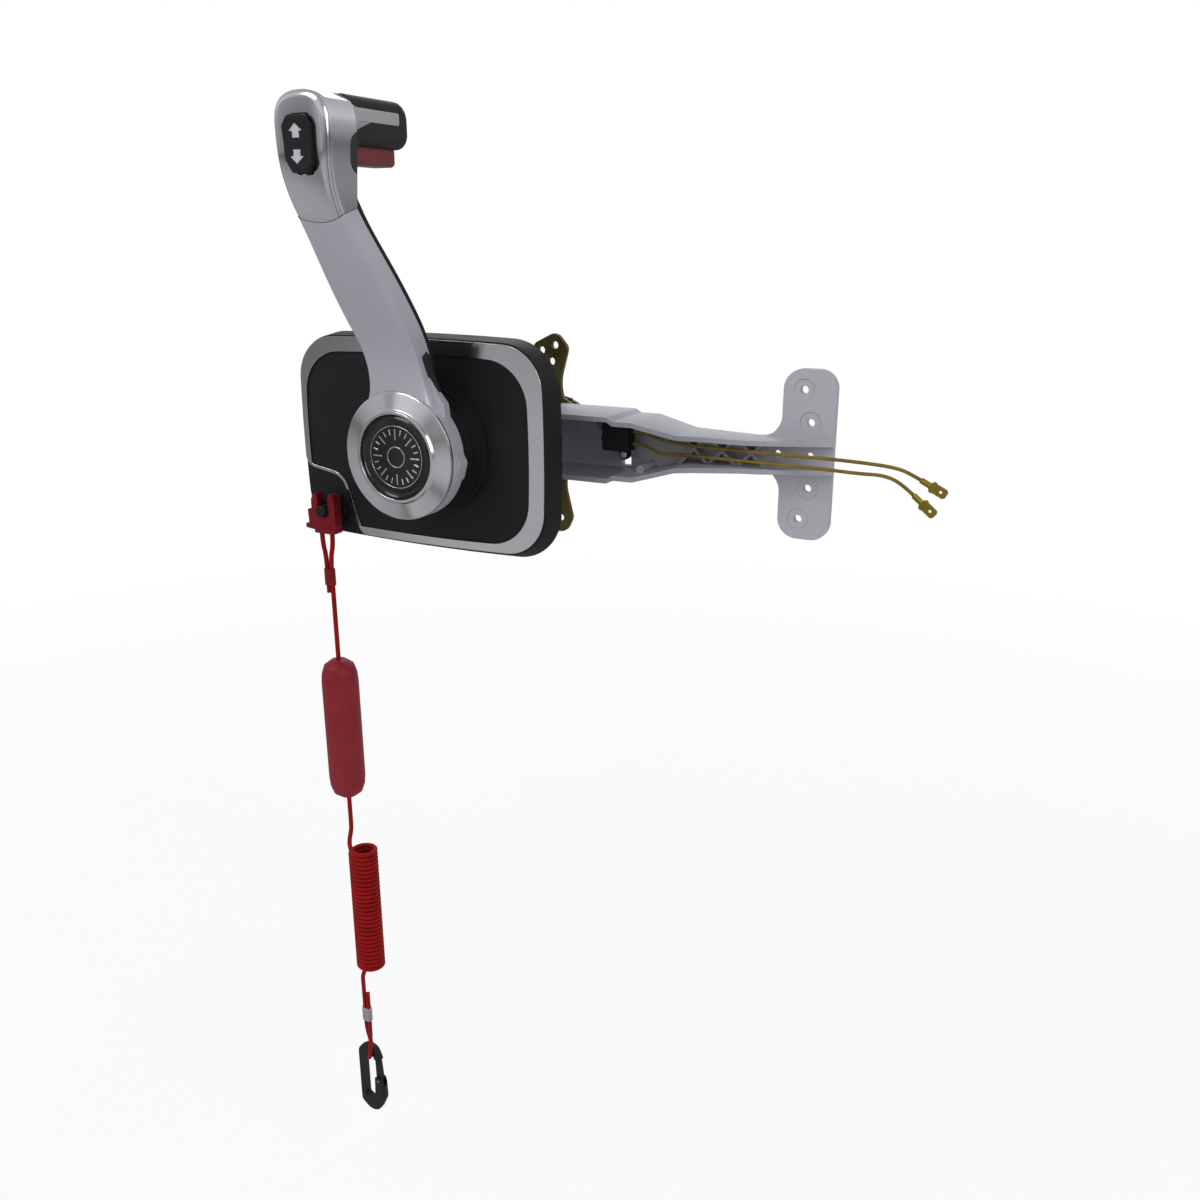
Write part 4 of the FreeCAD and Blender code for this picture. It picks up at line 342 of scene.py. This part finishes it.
def cover_over(material, mask, colour, rough, metal):
    """Lays a second finish over a material where the mask is 1: its colour, roughness and metal share."""
    tree = material.node_tree
    face = tree.nodes["Principled BSDF"]
    for entry, value in (("Base Color", colour), ("Roughness", rough), ("Metallic", metal)):
        mix = tree.nodes.new("ShaderNodeMix")
        wide = entry == "Base Color"
        mix.data_type = "RGBA" if wide else "FLOAT"
        first, second, out = (COLOUR_A, COLOUR_B, COLOUR_MIX) if wide else (VALUE_A, VALUE_B, VALUE_MIX)
        links = face.inputs[entry].links
        if links:
            tree.links.new(links[0].from_socket, mix.inputs[first])
        else:
            mix.inputs[first].default_value = face.inputs[entry].default_value
        mix.inputs[second].default_value = colour + (1,) if wide else value
        wire(tree, mask[0], mask[1], mix, 0)
        wire(tree, mix, out, face, entry)


cast = finish("cast_bracket", light=(0.29, 0.29, 0.32), dark=(0.24, 0.24, 0.265), worn=(0.45, 0.45, 0.48),
              rough=(0.45, 0.6), grain=1100.0, depth=0.00004, patch=30.0, wear=0.5, Metallic=0.3)
# Painted light: from mouth_y back to floor_y the colour turns paler, to lift the shade deep in the channel.
mouth_y, floor_y = 0.035, 0.066
cast_tree = cast.node_tree
depth_of = node(cast_tree, "ShaderNodeSeparateXYZ")
wire(cast_tree, node(cast_tree, "ShaderNodeTexCoord"), "Object", depth_of, 0)
painted_light_share = node(cast_tree, "ShaderNodeMapRange", From_Min=mouth_y, From_Max=floor_y, To_Max=0.85)
wire(cast_tree, depth_of, "Y", painted_light_share, 0)
cover_over(cast, (painted_light_share, 0), colour=(0.44, 0.44, 0.48), rough=0.55, metal=0.2)
smooth_skin("cable_bracket", "panel_unit", cast, turn=25.0)

# Cable arms: stamped steel plates with a toothed sector and clamp holes for the cables, passivated yellow-green.
# Both turn on one pin behind the gear housing, and the lever's pinion drives them.
gold = finish("gold_plate", light=(0.16, 0.13, 0.045), dark=(0.11, 0.09, 0.03), worn=(0.25, 0.21, 0.09),
              rough=(0.32, 0.5), grain=700.0, depth=0.000015, patch=45.0, wear=0.5, Metallic=1.0)
smooth_skin("throttle_arm", "throttle", gold)
smooth_skin("shift_arm", "shift", gold)

# Neutral switch: a small black sealed switch on two screws in the bracket's channel, with its sprung plunger.
# It keeps the engine from starting in gear.
smooth_skin("neutral_switch", "panel_unit", black)
smooth_skin("switch_plunger", "plunger", black)

# Spade tabs: stamped from brass strip, tinned yellow, each crimped on its lead's end.
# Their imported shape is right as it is, so they only get their metal.
spade_metal = finish("spade_brass", light=(0.36, 0.27, 0.04), dark=(0.27, 0.2, 0.025), worn=(0.5, 0.4, 0.1),
                     rough=(0.25, 0.4), grain=600.0, depth=0.00001, patch=120.0, Metallic=1.0)
for name in ("upper_spade", "lower_spade"):
    parts[name].data.materials.clear()
    parts[name].data.materials.append(spade_metal)


# Switch leads: two thin wires in a yellow-brown sleeve, from the neutral switch along the bracket's channel.
# They lie on the channel's floor side and end in crimped spade tabs just past the cable plate.
def cord_curve(name, route, diameter, material, body, resolution=8):
    """A round cord: one quadratic NURBS line along given control points in metres, with a round bevel."""
    curve = bpy.data.curves.new(name, "CURVE")
    curve.dimensions = "3D"
    curve.bevel_depth = diameter / 2
    curve.bevel_resolution = 4
    curve.use_fill_caps = True
    curve.resolution_u = resolution
    curve.render_resolution_u = resolution
    line = curve.splines.new("NURBS")
    line.points.add(len(route) - 1)
    for point, (x, y, z) in zip(line.points, route):
        point.co = (x, y, z, 1)
    line.order_u = 3
    line.use_endpoint_u = True
    curve.materials.append(material)
    made = bpy.data.objects.new(name, curve)
    scene.collection.objects.link(made)
    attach(made, body)
    return made


lead_wide = 0.0023
sleeve_wall = finish("lead_sleeve", light=(0.2, 0.14, 0.016), dark=(0.13, 0.09, 0.01), worn=(0.24, 0.18, 0.03),
                     rough=(0.3, 0.45), grain=500.0, depth=0.00001, patch=60.0, Specular_IOR_Level=0.2)
UPPER_LEAD = [(0.1175, 0.05, 0.0099), (0.125, 0.05, 0.0099), (0.1375, 0.05, 0.0054), (0.154, 0.05, 0.0037),
              (0.178, 0.05, 0.0034), (0.218, 0.05, 0.0028), (0.256, 0.05, 0.0027), (0.276, 0.05, 0.002),
              (0.288, 0.05, 0.0012), (0.298, 0.05, -0.0006), (0.307, 0.05, -0.0052)]
LOWER_LEAD = [(0.1175, 0.05, 0.0017), (0.126, 0.05, 0.0017), (0.137, 0.05, -0.004), (0.148, 0.05, -0.0032),
              (0.162, 0.05, -0.003), (0.182, 0.05, -0.0034), (0.218, 0.05, -0.0036), (0.25, 0.05, -0.004),
              (0.27, 0.05, -0.0047), (0.285, 0.05, -0.0043), (0.2956, 0.05, -0.0082), (0.3035, 0.05, -0.0148)]
for lead_name, lead_route, lead_length, tab_name in (("upper_lead", UPPER_LEAD, 0.1913, "upper_spade"),
                                                     ("lower_lead", LOWER_LEAD, 0.1899, "lower_spade")):
    lead = cord_curve(lead_name + "_wire", lead_route, lead_wide, sleeve_wall, "panel_unit")
    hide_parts(lead_name)

# Lever head: a chrome-plated casting, set on the arm along a fine curved seam. Its back upper corner is skinned
# over by the grip's rubber, and its chrome runs out in a tongue over the grip's side, towards the inlay.
seam_low, seam_rise, seam_front, seam_round = 0.14, 0.3, -0.11141, 0.03333
line_outer, line_inner = 0.00034, 0.00016


def maths(tree, operation, first, second=None):
    """A maths node; each operand is a number or (node, output)."""
    made = tree.nodes.new("ShaderNodeMath")
    made.operation = operation
    for place, given in enumerate((first, second)):
        if isinstance(given, tuple):
            wire(tree, given[0], given[1], made, place)
        elif given is not None:
            made.inputs[place].default_value = given
    return made


def seam_line():
    """Group: 1 on the seam, 0 away from it. The seam is z = low + rise (y - front) + R - sqrt(R^2 - x^2), where R is
    how round it is across the lever."""
    tree = bpy.data.node_groups.new("seam_line", "ShaderNodeTree")
    tree.interface.new_socket(name="Line", in_out="OUTPUT", socket_type="NodeSocketFloat")
    result = tree.nodes.new("NodeGroupOutput")
    parts_of = node(tree, "ShaderNodeSeparateXYZ")
    wire(tree, node(tree, "ShaderNodeTexCoord"), "Object", parts_of, 0)
    square = maths(tree, "MULTIPLY", (parts_of, "X"), (parts_of, "X"))
    inner = maths(tree, "SUBTRACT", seam_round ** 2, (square, 0))
    root = maths(tree, "SQRT", (inner, 0))
    slant = maths(tree, "MULTIPLY", (parts_of, "Y"), seam_rise)
    rest = maths(tree, "SUBTRACT", (parts_of, "Z"), (slant, 0))
    off = maths(tree, "ADD", (rest, 0), (root, 0))
    far = maths(tree, "SUBTRACT", (off, 0), seam_low - seam_rise * seam_front + seam_round)
    gap = maths(tree, "ABSOLUTE", (far, 0))
    line = node(tree, "ShaderNodeMapRange", From_Min=line_outer, From_Max=line_inner)
    wire(tree, gap, 0, line, 0)
    wire(tree, line, 0, result, "Line")
    return tree


def seam_on(material):
    """Draws the dark seam between head and arm in a material."""
    line = material.node_tree.nodes.new("ShaderNodeGroup")
    line.node_tree = SEAM
    cover_over(material, (line, "Line"), colour=(0.03, 0.03, 0.032), rough=0.6, metal=0.0)


top_start_y, top_start_z, top_slope, top_drop = -0.1046, 0.205, -0.31, -0.0046
low_start_y, low_end_y, low_start_z, low_climb = -0.0985, -0.078, 0.1862, 0.0075
cheek_middle_z, cheek_half_height, cheek_bulge, cheek_front_y = 0.1765, 0.0108, 0.006, -0.1032
flank_x, soft_edge = 0.0118, 0.00008


def soft_step(tree, given):
    """0 below a narrow band round zero, 1 above it, and between them inside the band."""
    made = node(tree, "ShaderNodeMapRange", From_Min=-soft_edge, From_Max=soft_edge)
    wire(tree, given, 0, made, 0)
    return made


def tongue():
    """Group of three masks. Below top is 1 under the tongue's upper line, z = start + slope (y - start y), held at
    its drop. Tongue is 1 on both sides between that line and the lower line, which climbs from the head to the
    inlay. Cheek is 1 on both sides behind the curve y = front + bulge ((z - middle) / half height)^4."""
    tree = bpy.data.node_groups.new("chrome_tongue", "ShaderNodeTree")
    tree.interface.new_socket(name="Below top", in_out="OUTPUT", socket_type="NodeSocketFloat")
    tree.interface.new_socket(name="Tongue", in_out="OUTPUT", socket_type="NodeSocketFloat")
    tree.interface.new_socket(name="Cheek", in_out="OUTPUT", socket_type="NodeSocketFloat")
    result = tree.nodes.new("NodeGroupOutput")
    parts_of = node(tree, "ShaderNodeSeparateXYZ")
    wire(tree, node(tree, "ShaderNodeTexCoord"), "Object", parts_of, 0)
    along = maths(tree, "ADD", (parts_of, "Y"), -top_start_y)
    fall = maths(tree, "MULTIPLY", (along, 0), top_slope)
    fall = maths(tree, "MAXIMUM", (fall, 0), top_drop)
    top = maths(tree, "ADD", (fall, 0), top_start_z)
    under = maths(tree, "SUBTRACT", (top, 0), (parts_of, "Z"))
    below = soft_step(tree, under)
    ahead = maths(tree, "LESS_THAN", (parts_of, "Y"), top_start_y)
    below_top = maths(tree, "MAXIMUM", (below, 0), (ahead, 0))
    step = node(tree, "ShaderNodeMapRange", From_Min=low_start_y, From_Max=low_end_y)
    wire(tree, parts_of, "Y", step, 0)
    climb = maths(tree, "MULTIPLY", (step, 0), low_climb)
    low = maths(tree, "ADD", (climb, 0), low_start_z)
    over = maths(tree, "SUBTRACT", (parts_of, "Z"), (low, 0))
    above = soft_step(tree, over)
    side = maths(tree, "ABSOLUTE", (parts_of, "X"))
    flank = maths(tree, "GREATER_THAN", (side, 0), flank_x)
    near = maths(tree, "LESS_THAN", (parts_of, "Y"), low_end_y)
    inside = maths(tree, "MULTIPLY", (below_top, 0), (above, 0))
    placed = maths(tree, "MULTIPLY", (flank, 0), (near, 0))
    shown = maths(tree, "MULTIPLY", (inside, 0), (placed, 0))
    height = maths(tree, "SUBTRACT", (parts_of, "Z"), cheek_middle_z)
    share = maths(tree, "DIVIDE", (height, 0), cheek_half_height)
    square = maths(tree, "MULTIPLY", (share, 0), (share, 0))
    fourth = maths(tree, "MULTIPLY", (square, 0), (square, 0))
    bulge = maths(tree, "MULTIPLY", (fourth, 0), cheek_bulge)
    front = maths(tree, "SUBTRACT", (bulge, 0), -cheek_front_y)
    behind = maths(tree, "SUBTRACT", (parts_of, "Y"), (front, 0))
    soft = soft_step(tree, behind)
    cheek = maths(tree, "MULTIPLY", (soft, 0), (flank, 0))
    wire(tree, below_top, 0, result, "Below top")
    wire(tree, shown, 0, result, "Tongue")
    wire(tree, cheek, 0, result, "Cheek")
    return tree


SEAM, TONGUE = seam_line(), tongue()
head_chrome = finish("head_chrome", light=(0.66, 0.645, 0.685), dark=(0.59, 0.575, 0.615), worn=(0.72, 0.72, 0.74),
                     rough=(0.08, 0.14), grain=700.0, depth=0.000003, patch=14.0, wear=0.6, Metallic=1.0)
skinned = head_chrome.node_tree.nodes.new("ShaderNodeGroup")
skinned.node_tree = TONGUE
rubber_top = maths(head_chrome.node_tree, "SUBTRACT", 1.0, (skinned, "Below top"))
rubber_share = maths(head_chrome.node_tree, "MAXIMUM", (rubber_top, 0), (skinned, "Cheek"))
cover_over(head_chrome, (rubber_share, 0), colour=(0.012, 0.012, 0.0125), rough=0.55, metal=0.0)
seam_on(head_chrome)
smooth_skin("lever_head", "lever", head_chrome, turn=30.0)

# Lever arm: a pressure casting in aluminium, blasted and lacquered satin silver, held on the shaft at its hub.
# A black moulded insert with a bright edge is let into its right side, just above the hub.
satin = finish("satin_casting", light=(0.49, 0.475, 0.53), dark=(0.44, 0.425, 0.478), worn=(0.62, 0.61, 0.65),
               rough=(0.34, 0.44), grain=1600.0, depth=0.00001, patch=12.0, wear=0.5, Metallic=0.4)
seam_on(satin)
insert_x, front_y, front_z, peak_y, peak_z, foot_z = 0.018, -0.0491, 0.0628, -0.044, 0.0661, 0.0407
lean, climb, drop = 0.389, 0.647, 0.839
inside_soft, rim_wide, rim_soft = 0.00012, 0.0006, 0.00015


def side_insert():
    """Group: Inside is 1 within the black insert on the arm's right side, Rim is 1 on its bright edge. In side view
    four lines bound it: y = front y + lean (front z - z), z = front z + climb (y - front y),
    z = peak z - drop (y - peak y) and z = foot z."""
    tree = bpy.data.node_groups.new("side_insert", "ShaderNodeTree")
    tree.interface.new_socket(name="Inside", in_out="OUTPUT", socket_type="NodeSocketFloat")
    tree.interface.new_socket(name="Rim", in_out="OUTPUT", socket_type="NodeSocketFloat")
    result = tree.nodes.new("NodeGroupOutput")
    place = node(tree, "ShaderNodeSeparateXYZ")
    wire(tree, node(tree, "ShaderNodeTexCoord"), "Object", place, 0)
    within = None
    for along, up, level in ((1.0, lean, -front_y - lean * front_z), (climb, -1.0, front_z - climb * front_y),
                             (-drop, -1.0, peak_z + drop * peak_y), (0.0, 1.0, -foot_z)):
        first = maths(tree, "MULTIPLY", (place, "Y"), along)
        second = maths(tree, "MULTIPLY", (place, "Z"), up)
        both = maths(tree, "ADD", (first, 0), (second, 0))
        side = maths(tree, "ADD", (both, 0), level)
        within = side if within is None else maths(tree, "MINIMUM", (within, 0), (side, 0))
    flank = maths(tree, "GREATER_THAN", (place, "X"), insert_x)
    inner = node(tree, "ShaderNodeMapRange", From_Min=0.0, From_Max=inside_soft)
    outer = node(tree, "ShaderNodeMapRange", From_Min=-rim_wide, From_Max=rim_soft - rim_wide)
    wire(tree, within, 0, inner, 0)
    wire(tree, within, 0, outer, 0)
    inside = maths(tree, "MULTIPLY", (inner, 0), (flank, 0))
    reach = maths(tree, "MULTIPLY", (outer, 0), (flank, 0))
    rim = maths(tree, "SUBTRACT", (reach, 0), (inside, 0))
    wire(tree, inside, 0, result, "Inside")
    wire(tree, rim, 0, result, "Rim")
    return tree


insert = satin.node_tree.nodes.new("ShaderNodeGroup")
insert.node_tree = side_insert()
cover_over(satin, (insert, "Rim"), colour=(0.62, 0.61, 0.64), rough=0.2, metal=0.6)
cover_over(satin, (insert, "Inside"), colour=(0.01, 0.01, 0.011), rough=0.5, metal=0.0)
smooth_skin("lever_arm", "lever", satin, turn=30.0)

# Back cover: a black moulded strip behind the casting, with the disc that faces the collar.
# Two screws hold it, and it closes the arm's hollow back.
smooth_skin("lever_back_cover", "lever", black, turn=30.0)

# Grip: soft black rubber moulded over the lever's bar, open below for the lock trigger.
# The head's chrome tongue lies over its side.
rubber = finish("grip_rubber", light=(0.014, 0.014, 0.0145), dark=(0.0105, 0.0105, 0.011), worn=(0.022, 0.022, 0.023),
                rough=(0.5, 0.65), grain=2200.0, depth=0.00002, patch=40.0, wear=0.3, Specular_IOR_Level=0.3)
chromed = rubber.node_tree.nodes.new("ShaderNodeGroup")
chromed.node_tree = TONGUE
cover_over(rubber, (chromed, "Tongue"), colour=(0.48, 0.465, 0.49), rough=0.12, metal=1.0)
smooth_skin("grip", "lever", rubber, turn=30.0)

# Lock trigger: a red moulded bar under the grip, lifted by the fingers before the lever may leave neutral.
# A wound steel spring under the grip's top pushes it down again, and is pressed shorter as the trigger lifts.
trigger_red = finish("trigger_red", light=(0.17, 0.024, 0.027), dark=(0.13, 0.017, 0.02), worn=(0.25, 0.05, 0.05),
                     rough=(0.35, 0.5), grain=1300.0, depth=0.000012, patch=35.0, wear=0.4, Specular_IOR_Level=0.35)
smooth_skin("lock_trigger", "trigger", trigger_red)
coil_spring = smooth_skin("trigger_spring", "lever", zinc)
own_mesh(coil_spring)

# Trim rocker: a black moulded pad that tilts on a pin in the head, with a shallow dish along its face.
# Two arrows, up and down, are pad-printed on it in pale grey ink.
smooth_skin("trim_rocker", "rocker", black)
arrow_ink = finish("arrow_ink", light=(0.5, 0.49, 0.53), dark=(0.42, 0.41, 0.45), worn=(0.6, 0.6, 0.62),
                   rough=(0.4, 0.5), grain=900.0, depth=0.00001, patch=200.0, wear=0.2)
rocker_middle, rocker_front, rocker_half_height = 0.18, -0.1258, 0.0146
dish_radius, dish_depth = rocker_half_height * 6.9, rocker_half_height * 0.05
arrow_x, arrow_up_z, arrow_down_z, ink_lift, strips = 0.0003, 0.1834, 0.1768, 0.00012, 11
ARROW = np.array([(0, 6.8), (4.5, 3), (2.3, 3), (2.3, -0.4), (-2.3, -0.4), (-2.3, 3), (-4.5, 3)]) / 1000


def placed_print(name, mesh, material, body):
    """Turns a raised print's faces outwards and lets it ride on the piece's body."""
    form = bmesh.new()
    form.from_mesh(mesh)
    bmesh.ops.recalc_face_normals(form, faces=form.faces[:])
    form.to_mesh(mesh)
    form.free()
    mesh.materials.append(material)
    made = bpy.data.objects.new(name, mesh)
    scene.collection.objects.link(made)
    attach(made, body)
    return made


def printed_arrow(name, outline):
    """A thin raised print on the rocker's dished face: y = front + depth - (R - sqrt(R^2 - z^2)) less the lift above
    the face, and more it below, with z from the rocker's middle. The outline is cut into strips that follow it."""
    form = bmesh.new()
    corners = [form.verts.new((x, 0, z)) for x, z in outline]
    form.faces.new(corners)
    for height in np.linspace(outline[:, 1].min(), outline[:, 1].max(), strips + 1)[1:-1]:
        bmesh.ops.bisect_plane(form, geom=form.verts[:] + form.edges[:] + form.faces[:],
                               plane_co=(0, 0, float(height)), plane_no=(0, 0, 1))
    bmesh.ops.triangulate(form, faces=form.faces[:])
    lifted = bmesh.ops.extrude_face_region(form, geom=form.faces[:])["geom"]
    above = [item for item in lifted if isinstance(item, bmesh.types.BMVert)]
    bmesh.ops.translate(form, verts=above, vec=(0, -1, 0))
    mesh = bpy.data.meshes.new(name)
    form.to_mesh(mesh)
    form.free()
    points = np.empty(len(mesh.vertices) * 3)
    mesh.vertices.foreach_get("co", points)
    points = points.reshape(-1, 3)
    bow = dish_radius - np.sqrt(dish_radius ** 2 - (points[:, 2] - rocker_middle) ** 2)
    points[:, 1] = rocker_front + dish_depth - bow + np.where(points[:, 1] < -0.5, -ink_lift, ink_lift)
    mesh.vertices.foreach_set("co", points.ravel())
    return placed_print(name, mesh, arrow_ink, "rocker")


printed_arrow("arrow_up", ARROW + (arrow_x, arrow_up_z))
printed_arrow("arrow_down", ARROW * (1, -1) + (arrow_x, arrow_down_z))

# Hub cap: a gloss black disc snapped into the hub's ring. Its face is a very shallow cone, and it carries a
# plain bright ring, a smaller one and a dial of short ticks, all standing a fraction of a millimetre proud.
cap_gloss = finish("black_gloss", light=(0.009, 0.009, 0.011), dark=(0.0065, 0.0065, 0.008), worn=(0.02, 0.02, 0.022),
                   rough=(0.12, 0.2), grain=800.0, depth=0.000003, patch=30.0, wear=0.3, Specular_IOR_Level=0.4)
smooth_skin("hub_cap", "lever", cap_gloss, turn=20.0)
cap_face, cap_fall, cap_edge = -0.0541, 0.0003, 0.0226
print_foot, ring_top, tick_top = 0.0001, -0.00022, -0.0002


def raised_rings(name, rings, steps=96):
    """Thin round bands on the cap: for each (inner, outer) radius a four-cornered section is carried round the
    axis, and y follows the cap's shallow cone, y = face + fall * radius / edge."""
    turn = np.linspace(0, 2 * np.pi, steps + 1)[:-1]
    radius = np.array([(inner, inner, outer, outer) for inner, outer in rings])[..., None]
    lift = np.array((print_foot, ring_top, ring_top, print_foot))[:, None]
    level = cap_face + cap_fall * radius / cap_edge + lift + 0 * turn
    points = np.stack((radius * np.cos(turn), level, radius * np.sin(turn)), -1).reshape(-1, 3)
    ring, side, step = np.indices((len(rings), 4, steps))
    here, across = (ring * 4 + side) * steps, (ring * 4 + (side + 1) % 4) * steps
    onward = (step + 1) % steps
    faces = np.stack((here + step, here + onward, across + onward, across + step), -1).reshape(-1, 4)
    mesh = bpy.data.meshes.new(name)
    mesh.from_pydata(points.tolist(), [], faces.tolist())
    return placed_print(name, mesh, chrome, "lever")


def raised_ticks(name, count, inner, outer, half_width, longer):
    """A dial of flat ticks: tick k stands at the angle 2 pi k / count between two radii, and every third one
    reaches further in."""
    order = np.arange(count)
    turn = 2 * np.pi * order / count
    along = np.stack((np.cos(turn), 0 * turn, np.sin(turn)), 1)
    aside = np.stack((-np.sin(turn), 0 * turn, np.cos(turn)), 1) * half_width
    start = inner - np.where(order % 3 == 0, longer, 0.0)
    end = np.full(count, outer)
    corners = []
    for lift in (print_foot, tick_top):
        for radius, side in ((start, -1), (end, -1), (end, 1), (start, 1)):
            level = cap_face + cap_fall * radius / cap_edge + lift
            corners.append(along * radius[:, None] + aside * side + level[:, None] * (0, 1, 0))
    box = ((0, 1, 2, 3), (7, 6, 5, 4), (0, 4, 5, 1), (1, 5, 6, 2), (2, 6, 7, 3), (3, 7, 4, 0))
    faces = (order[:, None, None] * len(corners) + np.array(box)).reshape(-1, 4)
    mesh = bpy.data.meshes.new(name)
    mesh.from_pydata(np.stack(corners, 1).reshape(-1, 3).tolist(), [], faces.tolist())
    return placed_print(name, mesh, chrome, "lever")


raised_rings("cap_rings", ((0.0196, 0.02), (0.0062, 0.0068)))
raised_ticks("cap_ticks", 24, inner=0.0142, outer=0.0178, half_width=0.00045, longer=0.0032)

# Lanyard clip and upper ferrule: red moulded plastic. The clip's fork slips over the stop button, and the
# ferrule is pressed round the two strands of the upper loop.
clip_red = finish("clip_red", light=(0.19, 0.007, 0.011), dark=(0.13, 0.004, 0.007), worn=(0.26, 0.02, 0.025),
                  rough=(0.36, 0.5), grain=1200.0, depth=0.000015, patch=60.0, wear=0.35, Specular_IOR_Level=0.18)
smooth_skin("lanyard_clip", "lanyard", clip_red)
upper_ferrule_skin = smooth_skin("upper_ferrule", "lanyard", clip_red)

# Float: a closed-cell foam body with rounded ends, dipped in dull red.
# It is threaded on the cord and stays where friction holds it.
foam = finish("red_foam", light=(0.24, 0.014, 0.021), dark=(0.19, 0.009, 0.015), worn=(0.3, 0.03, 0.04),
              rough=(0.42, 0.58), grain=520.0, depth=0.00006, patch=28.0, wear=0.3, Specular_IOR_Level=0.22)
float_skin = smooth_skin("cord_float", "lanyard", foam, turn=40.0)

# Lower ferrule: a bare aluminium sleeve, crimped round the two strands of the lower loop.
# It is left bare, the only silver spot on the red cord.
bare = finish("bare_ferrule", light=(0.55, 0.55, 0.58), dark=(0.46, 0.46, 0.49), worn=(0.66, 0.66, 0.68),
              rough=(0.3, 0.42), grain=900.0, depth=0.00002, patch=150.0, Metallic=1.0)
ferrule_skin = smooth_skin("lower_ferrule", "lanyard", bare)

# Snap hook: black moulded nylon with a sprung gate on a steel pin.
# The lower loop goes through its eye, and the hook clips to the driver's belt.
nylon = finish("hook_black", light=(0.012, 0.012, 0.013), dark=(0.008, 0.008, 0.009), worn=(0.03, 0.03, 0.032),
               rough=(0.36, 0.5), grain=1300.0, depth=0.000015, patch=70.0, wear=0.4, Specular_IOR_Level=0.25)
hook_skin = smooth_skin("snap_hook", "lanyard", nylon)
gate_skin = smooth_skin("hook_gate", "gate", nylon)
gate_pin_skin = smooth_skin("gate_pin", "lanyard", zinc)

# Lanyard cord: a red plastic-covered cord, straight from the upper ferrule through the float, wound into a
# springy coil, and straight again to the lower ferrule. Its two ends are folded into loops.
cord_wall = finish("red_cord", light=(0.3, 0.002, 0.003), dark=(0.2, 0.002, 0.002), worn=(0.34, 0.01, 0.01),
                   rough=(0.4, 0.55), grain=700.0, depth=0.00002, patch=90.0, Specular_IOR_Level=0.12)
cord_wide = 0.0034
line_x, line_y = -0.0834, -0.026
coil_top, coil_bottom, coil_middle_x = -0.3093, -0.4257, -0.0739
turns, steps_per_turn = 29, 14
coil_radius, coil_reach, run_in = 0.0095, 0.00974, 0.008
falls = np.array([0.0058, 0.0045, 0.0028, 0.0012])
inner_steps = turns * steps_per_turn - 2 * len(falls)
inner_fall = (coil_top - coil_bottom - 2 * falls.sum() + 2 * run_in) / inner_steps
drops = np.concatenate((falls, np.full(inner_steps, inner_fall), falls[::-1]))
coil_heights = coil_top + run_in - np.concatenate(((0.0,), np.cumsum(drops)))
coil_angles = np.pi + np.arange(len(coil_heights)) * 2 * np.pi / steps_per_turn
coil_route = [(coil_middle_x + coil_reach * np.cos(a), line_y + coil_reach * np.sin(a), z)
              for a, z in zip(coil_angles, coil_heights)]
main_route = ([(line_x, line_y, -0.098), (line_x, line_y, -0.118), (line_x, line_y, -0.28),
               (line_x, line_y, -0.295)] + coil_route +
              [(line_x, line_y, -0.4395), (line_x, line_y, -0.453), (line_x, line_y, -0.469)])
main_cord = cord_curve("lanyard_cord", main_route, cord_wide, cord_wall, "lanyard", resolution=3)
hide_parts("main_cord", "cord_coil", "lower_cord")

upper_bend = [(-0.0834, -0.026, -0.098), (-0.0834, -0.026, -0.084), (-0.0804, -0.026, -0.074),
              (-0.0804, -0.026, -0.0605), (-0.0894, -0.026, -0.0605), (-0.0894, -0.026, -0.074),
              (-0.087, -0.026, -0.084), (-0.087, -0.026, -0.11)]
upper_loop = cord_curve("upper_loop_cord", upper_bend, cord_wide, cord_wall, "lanyard", resolution=12)
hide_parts("upper_loop")
lower_bend = [(-0.0834, -0.026, -0.469), (-0.0834, -0.026, -0.481), (-0.086, -0.022, -0.491),
              (-0.0854, -0.0195, -0.504), (-0.0824, -0.0215, -0.5096), (-0.0794, -0.0305, -0.5096),
              (-0.0764, -0.0325, -0.504), (-0.0769, -0.03, -0.491), (-0.0798, -0.026, -0.481),
              (-0.0798, -0.026, -0.449)]
lower_loop = cord_curve("lower_loop_cord", lower_bend, cord_wide, cord_wall, "lanyard", resolution=12)
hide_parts("lower_loop")
